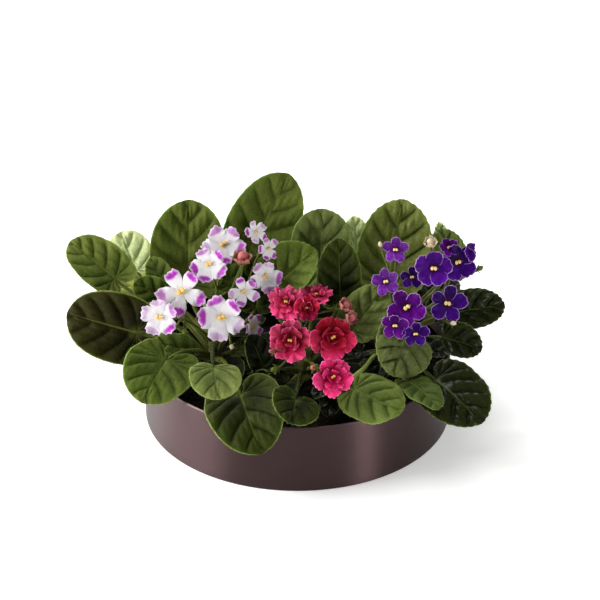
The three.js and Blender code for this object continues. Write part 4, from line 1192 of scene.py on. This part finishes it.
def add_stalks(form, plant, look, blooms):
    """Flower stalks, pedicels with their sepals, and buds."""
    rng = np.random.default_rng(len(plant) * 97)
    cx, cy = CROWNS[plant]
    hair = look.hair / MM
    bends = {}

    def pedicel(path, flare):
        path = spline(path, STALK_RINGS)
        radii = np.interp(np.linspace(0, 1, STALK_RINGS), PEDICEL_PLACES, (*PEDICEL_RADII, flare))
        hairy_tube(form, path, radii, look.sides, 50, hair, 0.035, rng, look.stalk)

    for owner, fork, carried in STALKS:
        if owner != plant:
            continue
        fork = np.array(fork, float)
        out = unit((fork[0] - cx, fork[1] - cy, 0))
        root = np.array((cx, cy, CROWN_TOP - 4)) + 2 * out
        bend = (root + fork) / 2 - 2 * out
        bends[tuple(fork)] = bend
        path = spline([root, bend, fork], 20)
        radii = np.linspace(*STALK_RADII, len(path))
        hairy_tube(form, path, radii, look.sides + 2, 70, hair, 0.035, rng, look.stalk)
        for node, index, *via in carried:
            x, y, z, azimuth, elevation, turn, radius, _ = BLOOMS[node][index]
            axes = bloom_axes(azimuth, elevation, turn)
            centre = np.array((x, y, z), float)
            seat = centre - axes[0] * (SOLID_PETAL / 2 + CALYX_SEAT)
            start = fork + 0.03 * (bend - fork)
            pedicel([start, *via, centre - 7 * axes[0], seat], 1.9)
            for k in range(5):
                angle = math.radians(54 + 72 * k)
                add_sepal(form, seat, axes, angle, radius * 0.36, -0.25, -0.3, look, rng)
    for owner, fork, tip, size, tone in BUDS:
        if owner != plant:
            continue
        fork, tip = np.array(fork, float), np.array(tip, float)
        start = fork + 0.03 * (bends[tuple(fork)] - fork)
        way = unit(unit(tip - fork) + (0, -0.35, 0.5))
        pedicel([start, (start + tip) / 2 + (0, 0, 2), tip - way * 3, tip], 1.2)
        petals = np.array(getattr(look, tone, None) or getattr(blooms, tone))
        add_bud(form, tip, way, size, petals, look, rng)


# Operators

def arc(r, z, size, start, end, count):
    """Points along an arc of the dish's profile, as radius and height."""
    angles = np.linspace(start, end, count)
    return [(r + size * math.cos(a), z + size * math.sin(a)) for a in angles]


class VIOLET_OT_dish(bpy.types.Operator):
    """Turns the shallow satin metal dish with its rolled rim"""
    bl_idname = "violet.dish"
    bl_label = "Dish"

    def execute(self, context):
        look = context.scene.violet_dish
        radius, height = look.radius / MM, look.height / MM
        inner, floor = radius - look.wall / MM, look.floor / MM
        rim = (radius + inner) / 2
        lip = (radius - inner) / 2
        top, quarter = height - lip, math.pi / 2
        foot = arc(radius - DISH_FOOT, DISH_FOOT, DISH_FOOT, -quarter, 0, 6)
        wall = [(radius, z) for z in np.linspace(DISH_FOOT, top, 12)[1:-1]]
        roll = arc(rim, top, lip, 0, math.pi, 11)
        inside = [(inner, z) for z in np.linspace(top, floor + DISH_COVE, 8)[1:]]
        cove = arc(inner - DISH_COVE, floor + DISH_COVE, DISH_COVE, 0, -quarter, 5)[1:]
        under, bed = [(0, 0), (radius * 0.6, 0)], [(radius * 0.5, floor), (0, floor)]
        profile = np.array([*under, *foot, *wall, *roll, *inside, *cove, *bed])
        angles = np.linspace(0, 2 * math.pi, look.sides, endpoint=False)[None]
        r, z = profile[:, :1], profile[:, 1:]
        form = Form()
        form.add(np.stack([r * np.cos(angles), r * np.sin(angles), z + 0 * angles], -1),
                 ring_faces(len(profile), look.sides))
        make_piece("dish_satin", form, dish_finish(look), "dish", "dish")
        return {"FINISHED"}


class VIOLET_OT_soil(bpy.types.Operator):
    """Fills the dish with crumbly potting soil"""
    bl_idname = "violet.soil"
    bl_label = "Soil"

    def execute(self, context):
        look = context.scene.violet_soil
        rng = np.random.default_rng(SOIL_SEED)
        radius, edge, crown = look.radius / MM, look.edge / MM, look.crown / MM
        rows = SOIL_RINGS
        r = np.concatenate([np.linspace(0, radius, rows), [radius, 0]])[:, None]
        angle = np.linspace(0, 2 * math.pi, SOIL_SIDES, endpoint=False)[None]
        x, y = r * np.cos(angle), r * np.sin(angle)
        z = crown - (crown - edge) * (r / radius) ** 2 + 0 * angle
        for size, height in SOIL_SWELLS:
            a, b, c, d = rng.uniform(0, 6.28, 4)
            swell = height * np.sin(x / size * 2 + a + np.sin(y / size + b))
            z = z + swell * np.sin(y / size * 2 + c + np.sin(x / size + d))
        z[:rows] -= 0.4 + 0.6 * ease(0.94, 1, r[:rows] / radius)
        z[rows:] = look.bottom / MM
        form = Form()
        form.add(np.stack([x, y, z], -1), ring_faces(rows + 2, SOIL_SIDES)[:, ::-1])
        ball = bmesh.new()
        bmesh.ops.create_icosphere(ball, subdivisions=1, radius=1)
        lump = np.array([point.co for point in ball.verts])
        faces = np.array([[point.index for point in face.verts] for face in ball.faces])
        ball.free()
        for _ in range(look.crumbs):
            turn = rng.uniform(0, 2 * math.pi)
            out = radius * 0.96 * math.sqrt(rng.uniform(0, 1))
            size = rng.uniform(0.5, 1.9)
            place = np.array((out * math.cos(turn), out * math.sin(turn), 0))
            place[2] = crown - (crown - edge) * (out / radius) ** 2 - 0.2
            rough = lump * rng.uniform(0.7, 1.25, (len(lump), 1)) * rng.uniform(0.7, 1.2, 3)
            form.add(place + rough * size, faces)
        make_piece("soil_crumbly", form, soil_finish(look), "soil", "soil")
        return {"FINISHED"}


class VIOLET_OT_stems(bpy.types.Operator):
    """Grows the crowns with their flower stalks, sepals, buds and youngest leaves"""
    bl_idname = "violet.stems"
    bl_label = "Crowns and stalks"

    def execute(self, context):
        scene = context.scene
        look, leaves, blooms = scene.violet_stems, scene.violet_leaves, scene.violet_blooms
        for plant, (x, y) in CROWNS.items():
            form = Form()
            heights = np.linspace(CROWN_BOTTOM, CROWN_TOP, CROWN_RINGS)
            path = np.stack([np.full(CROWN_RINGS, x), np.full(CROWN_RINGS, y), heights], -1)
            radii = np.linspace(CROWN_RADIUS, CROWN_TOP_RADIUS, CROWN_RINGS)
            radii = radii + 0.25 * np.cos(np.arange(CROWN_RINGS) * 2.2)
            radii[-1] *= 0.7
            tube(form, path, radii, 20, tone=look.crown)
            add_stalks(form, plant, look, blooms)
            for number, row in enumerate((*YOUNG_LEAVES, *LOW_LEAVES)):
                leaf = read_leaf(row)
                if leaf.plant == plant:
                    add_blade(form, leaf, leaves)
                    add_petiole(form, leaf, -1.0, leaves, np.random.default_rng(number))
            skin = leaf_finish(plant, leaves)
            make_piece(f"stems_{plant}_grown", form, skin, "stems", f"stems_{plant}")
        return {"FINISHED"}


class VIOLET_OT_leaves(bpy.types.Operator):
    """Grows the leaves of one plant, each blade with its petiole"""
    bl_idname = "violet.leaves"
    bl_label = "Leaves"
    plant: bpy.props.EnumProperty(
        name="Plant", description="Plant that the leaves grow on", default="left",
        items=[(plant, plant.capitalize(), f"The {plant} plant") for plant in CROWNS])

    def execute(self, context):
        look = context.scene.violet_leaves
        for row in LEAVES:
            leaf = read_leaf(row)
            if leaf.plant != self.plant:
                continue
            form = Form()
            add_blade(form, leaf, look)
            add_petiole(form, leaf, -0.6, look, np.random.default_rng(leaf.seed + 1))
            skin = leaf_finish(LEAF_SKIN.get(leaf.name, leaf.plant), look)
            make_piece(f"leaf_{leaf.name}_grown", form, skin,
                       f"leaves_{leaf.plant}", f"leaf_{leaf.name}")
        return {"FINISHED"}


class VIOLET_OT_blooms(bpy.types.Operator):
    """Opens the blooms of one colour"""
    bl_idname = "violet.blooms"
    bl_label = "Blooms"
    kind: bpy.props.EnumProperty(
        name="Kind", description="Colour of the blooms", default="white",
        items=[(kind, kind.capitalize(), f"The {kind} blooms") for kind in KINDS])

    def execute(self, context):
        look = context.scene.violet_blooms
        for number, (name, rows) in enumerate(BLOOMS.items()):
            if not name.startswith(self.kind):
                continue
            form = Form()
            for index, row in enumerate(rows):
                add_bloom(form, row, look, number * 7 + index)
            make_piece(f"bloom_{name}_open", form, petal_finish(self.kind, look),
                       f"petals_{self.kind}", f"bloom_{name}")
        return {"FINISHED"}


class VIOLET_OT_stage(bpy.types.Operator):
    """Lays the pale floor, sets the soft lights and places the camera"""
    bl_idname = "violet.stage"
    bl_label = "Stage"

    def execute(self, context):
        scene, look = context.scene, context.scene.violet_stage
        scene.view_settings.view_transform = "Standard"
        material, w, skin = new_finish(
            "studio_floor", Roughness=0.9, Emission_Color=(1, 1, 1, 1), Emission_Strength=look.glow)
        paper = w.noise(w.put("ShaderNodeTexCoord").outputs["Object"], 40.0, 3.0)
        darker = tuple(0.97 * c for c in look.floor)
        w.links.new(w.tint(look.floor, darker, paper, 0.1), skin["Base Color"])
        mesh = bpy.data.meshes.new("studio_floor")
        far = FLOOR_REACH
        corners = [(-far, -far, 0), (far, -far, 0), (far, far, 0), (-far, far, 0)]
        mesh.from_pydata(corners, [], [(0, 1, 2, 3)])
        mesh.materials.append(material)
        floor = bpy.data.objects.new("studio_floor", mesh)
        scene.collection.objects.link(floor)
        world = bpy.data.worlds.new("studio_room")
        world.use_nodes = True
        scene.world = world
        room = Wires(world.node_tree)
        seen = room.put("ShaderNodeLightPath").outputs["Is Camera Ray"]
        background = room.nodes["Background"].inputs
        background["Color"].default_value = (1, 1, 1, 1)
        strength = room.math("MULTIPLY_ADD", seen, 1.0 - look.room, look.room)
        room.links.new(strength, background["Strength"])
        aim = np.array(look.aim)
        for name, setting, width, height, place in LAMPS:
            lamp = bpy.data.lights.new(name, "AREA")
            lamp.shape, lamp.energy = "RECTANGLE", getattr(look, setting)
            lamp.size, lamp.size_y = width, height
            holder = bpy.data.objects.new(name, lamp)
            self.point(holder, np.array(place), aim)
            scene.collection.objects.link(holder)
        camera = bpy.data.objects.new("camera", bpy.data.cameras.new("camera"))
        camera.data.lens, camera.data.sensor_width = look.lens, SENSOR_WIDTH
        camera.data.clip_end = CLIP_END
        back = np.array((0, -math.cos(look.elevation), math.sin(look.elevation)))
        self.point(camera, aim + look.distance * back, aim)
        scene.collection.objects.link(camera)
        scene.camera = camera
        return {"FINISHED"}

    @staticmethod
    def point(thing, place, aim):
        """Puts a light or the camera at a place and turns it to face the aim."""
        thing.location = place
        thing.rotation_euler = Vector(aim - place).to_track_quat("-Z", "Y").to_euler()


class VIOLET_PT_panel(bpy.types.Panel):
    """Lists the pieces and their sizes and colours"""
    bl_idname = "VIOLET_PT_panel"
    bl_label = "African Violets"
    bl_space_type = "VIEW_3D"
    bl_region_type = "UI"
    bl_category = "Violets"

    def draw(self, context):
        for key, group in SETTINGS.items():
            box = self.layout.box()
            box.operator(key.replace("_", ".", 1))
            settings = getattr(context.scene, key)
            for name in group.__annotations__:
                box.prop(settings, name)


CLASSES = (*SETTINGS.values(), VIOLET_OT_dish, VIOLET_OT_soil, VIOLET_OT_stems, VIOLET_OT_leaves,
           VIOLET_OT_blooms, VIOLET_OT_stage, VIOLET_PT_panel)


def register():
    for entry in CLASSES:
        bpy.utils.register_class(entry)
    for key, group in SETTINGS.items():
        setattr(bpy.types.Scene, key, bpy.props.PointerProperty(type=group))


def unregister():
    for key in SETTINGS:
        delattr(bpy.types.Scene, key)
    for entry in reversed(CLASSES):
        bpy.utils.unregister_class(entry)


def main():
    """Builds every piece in order."""
    register()
    bpy.ops.violet.dish()
    bpy.ops.violet.soil()
    bpy.ops.violet.stems()
    for plant in CROWNS:
        bpy.ops.violet.leaves(plant=plant)
    for kind in KINDS:
        bpy.ops.violet.blooms(kind=kind)
    bpy.ops.violet.stage()


if __name__ == "__main__":
    main()
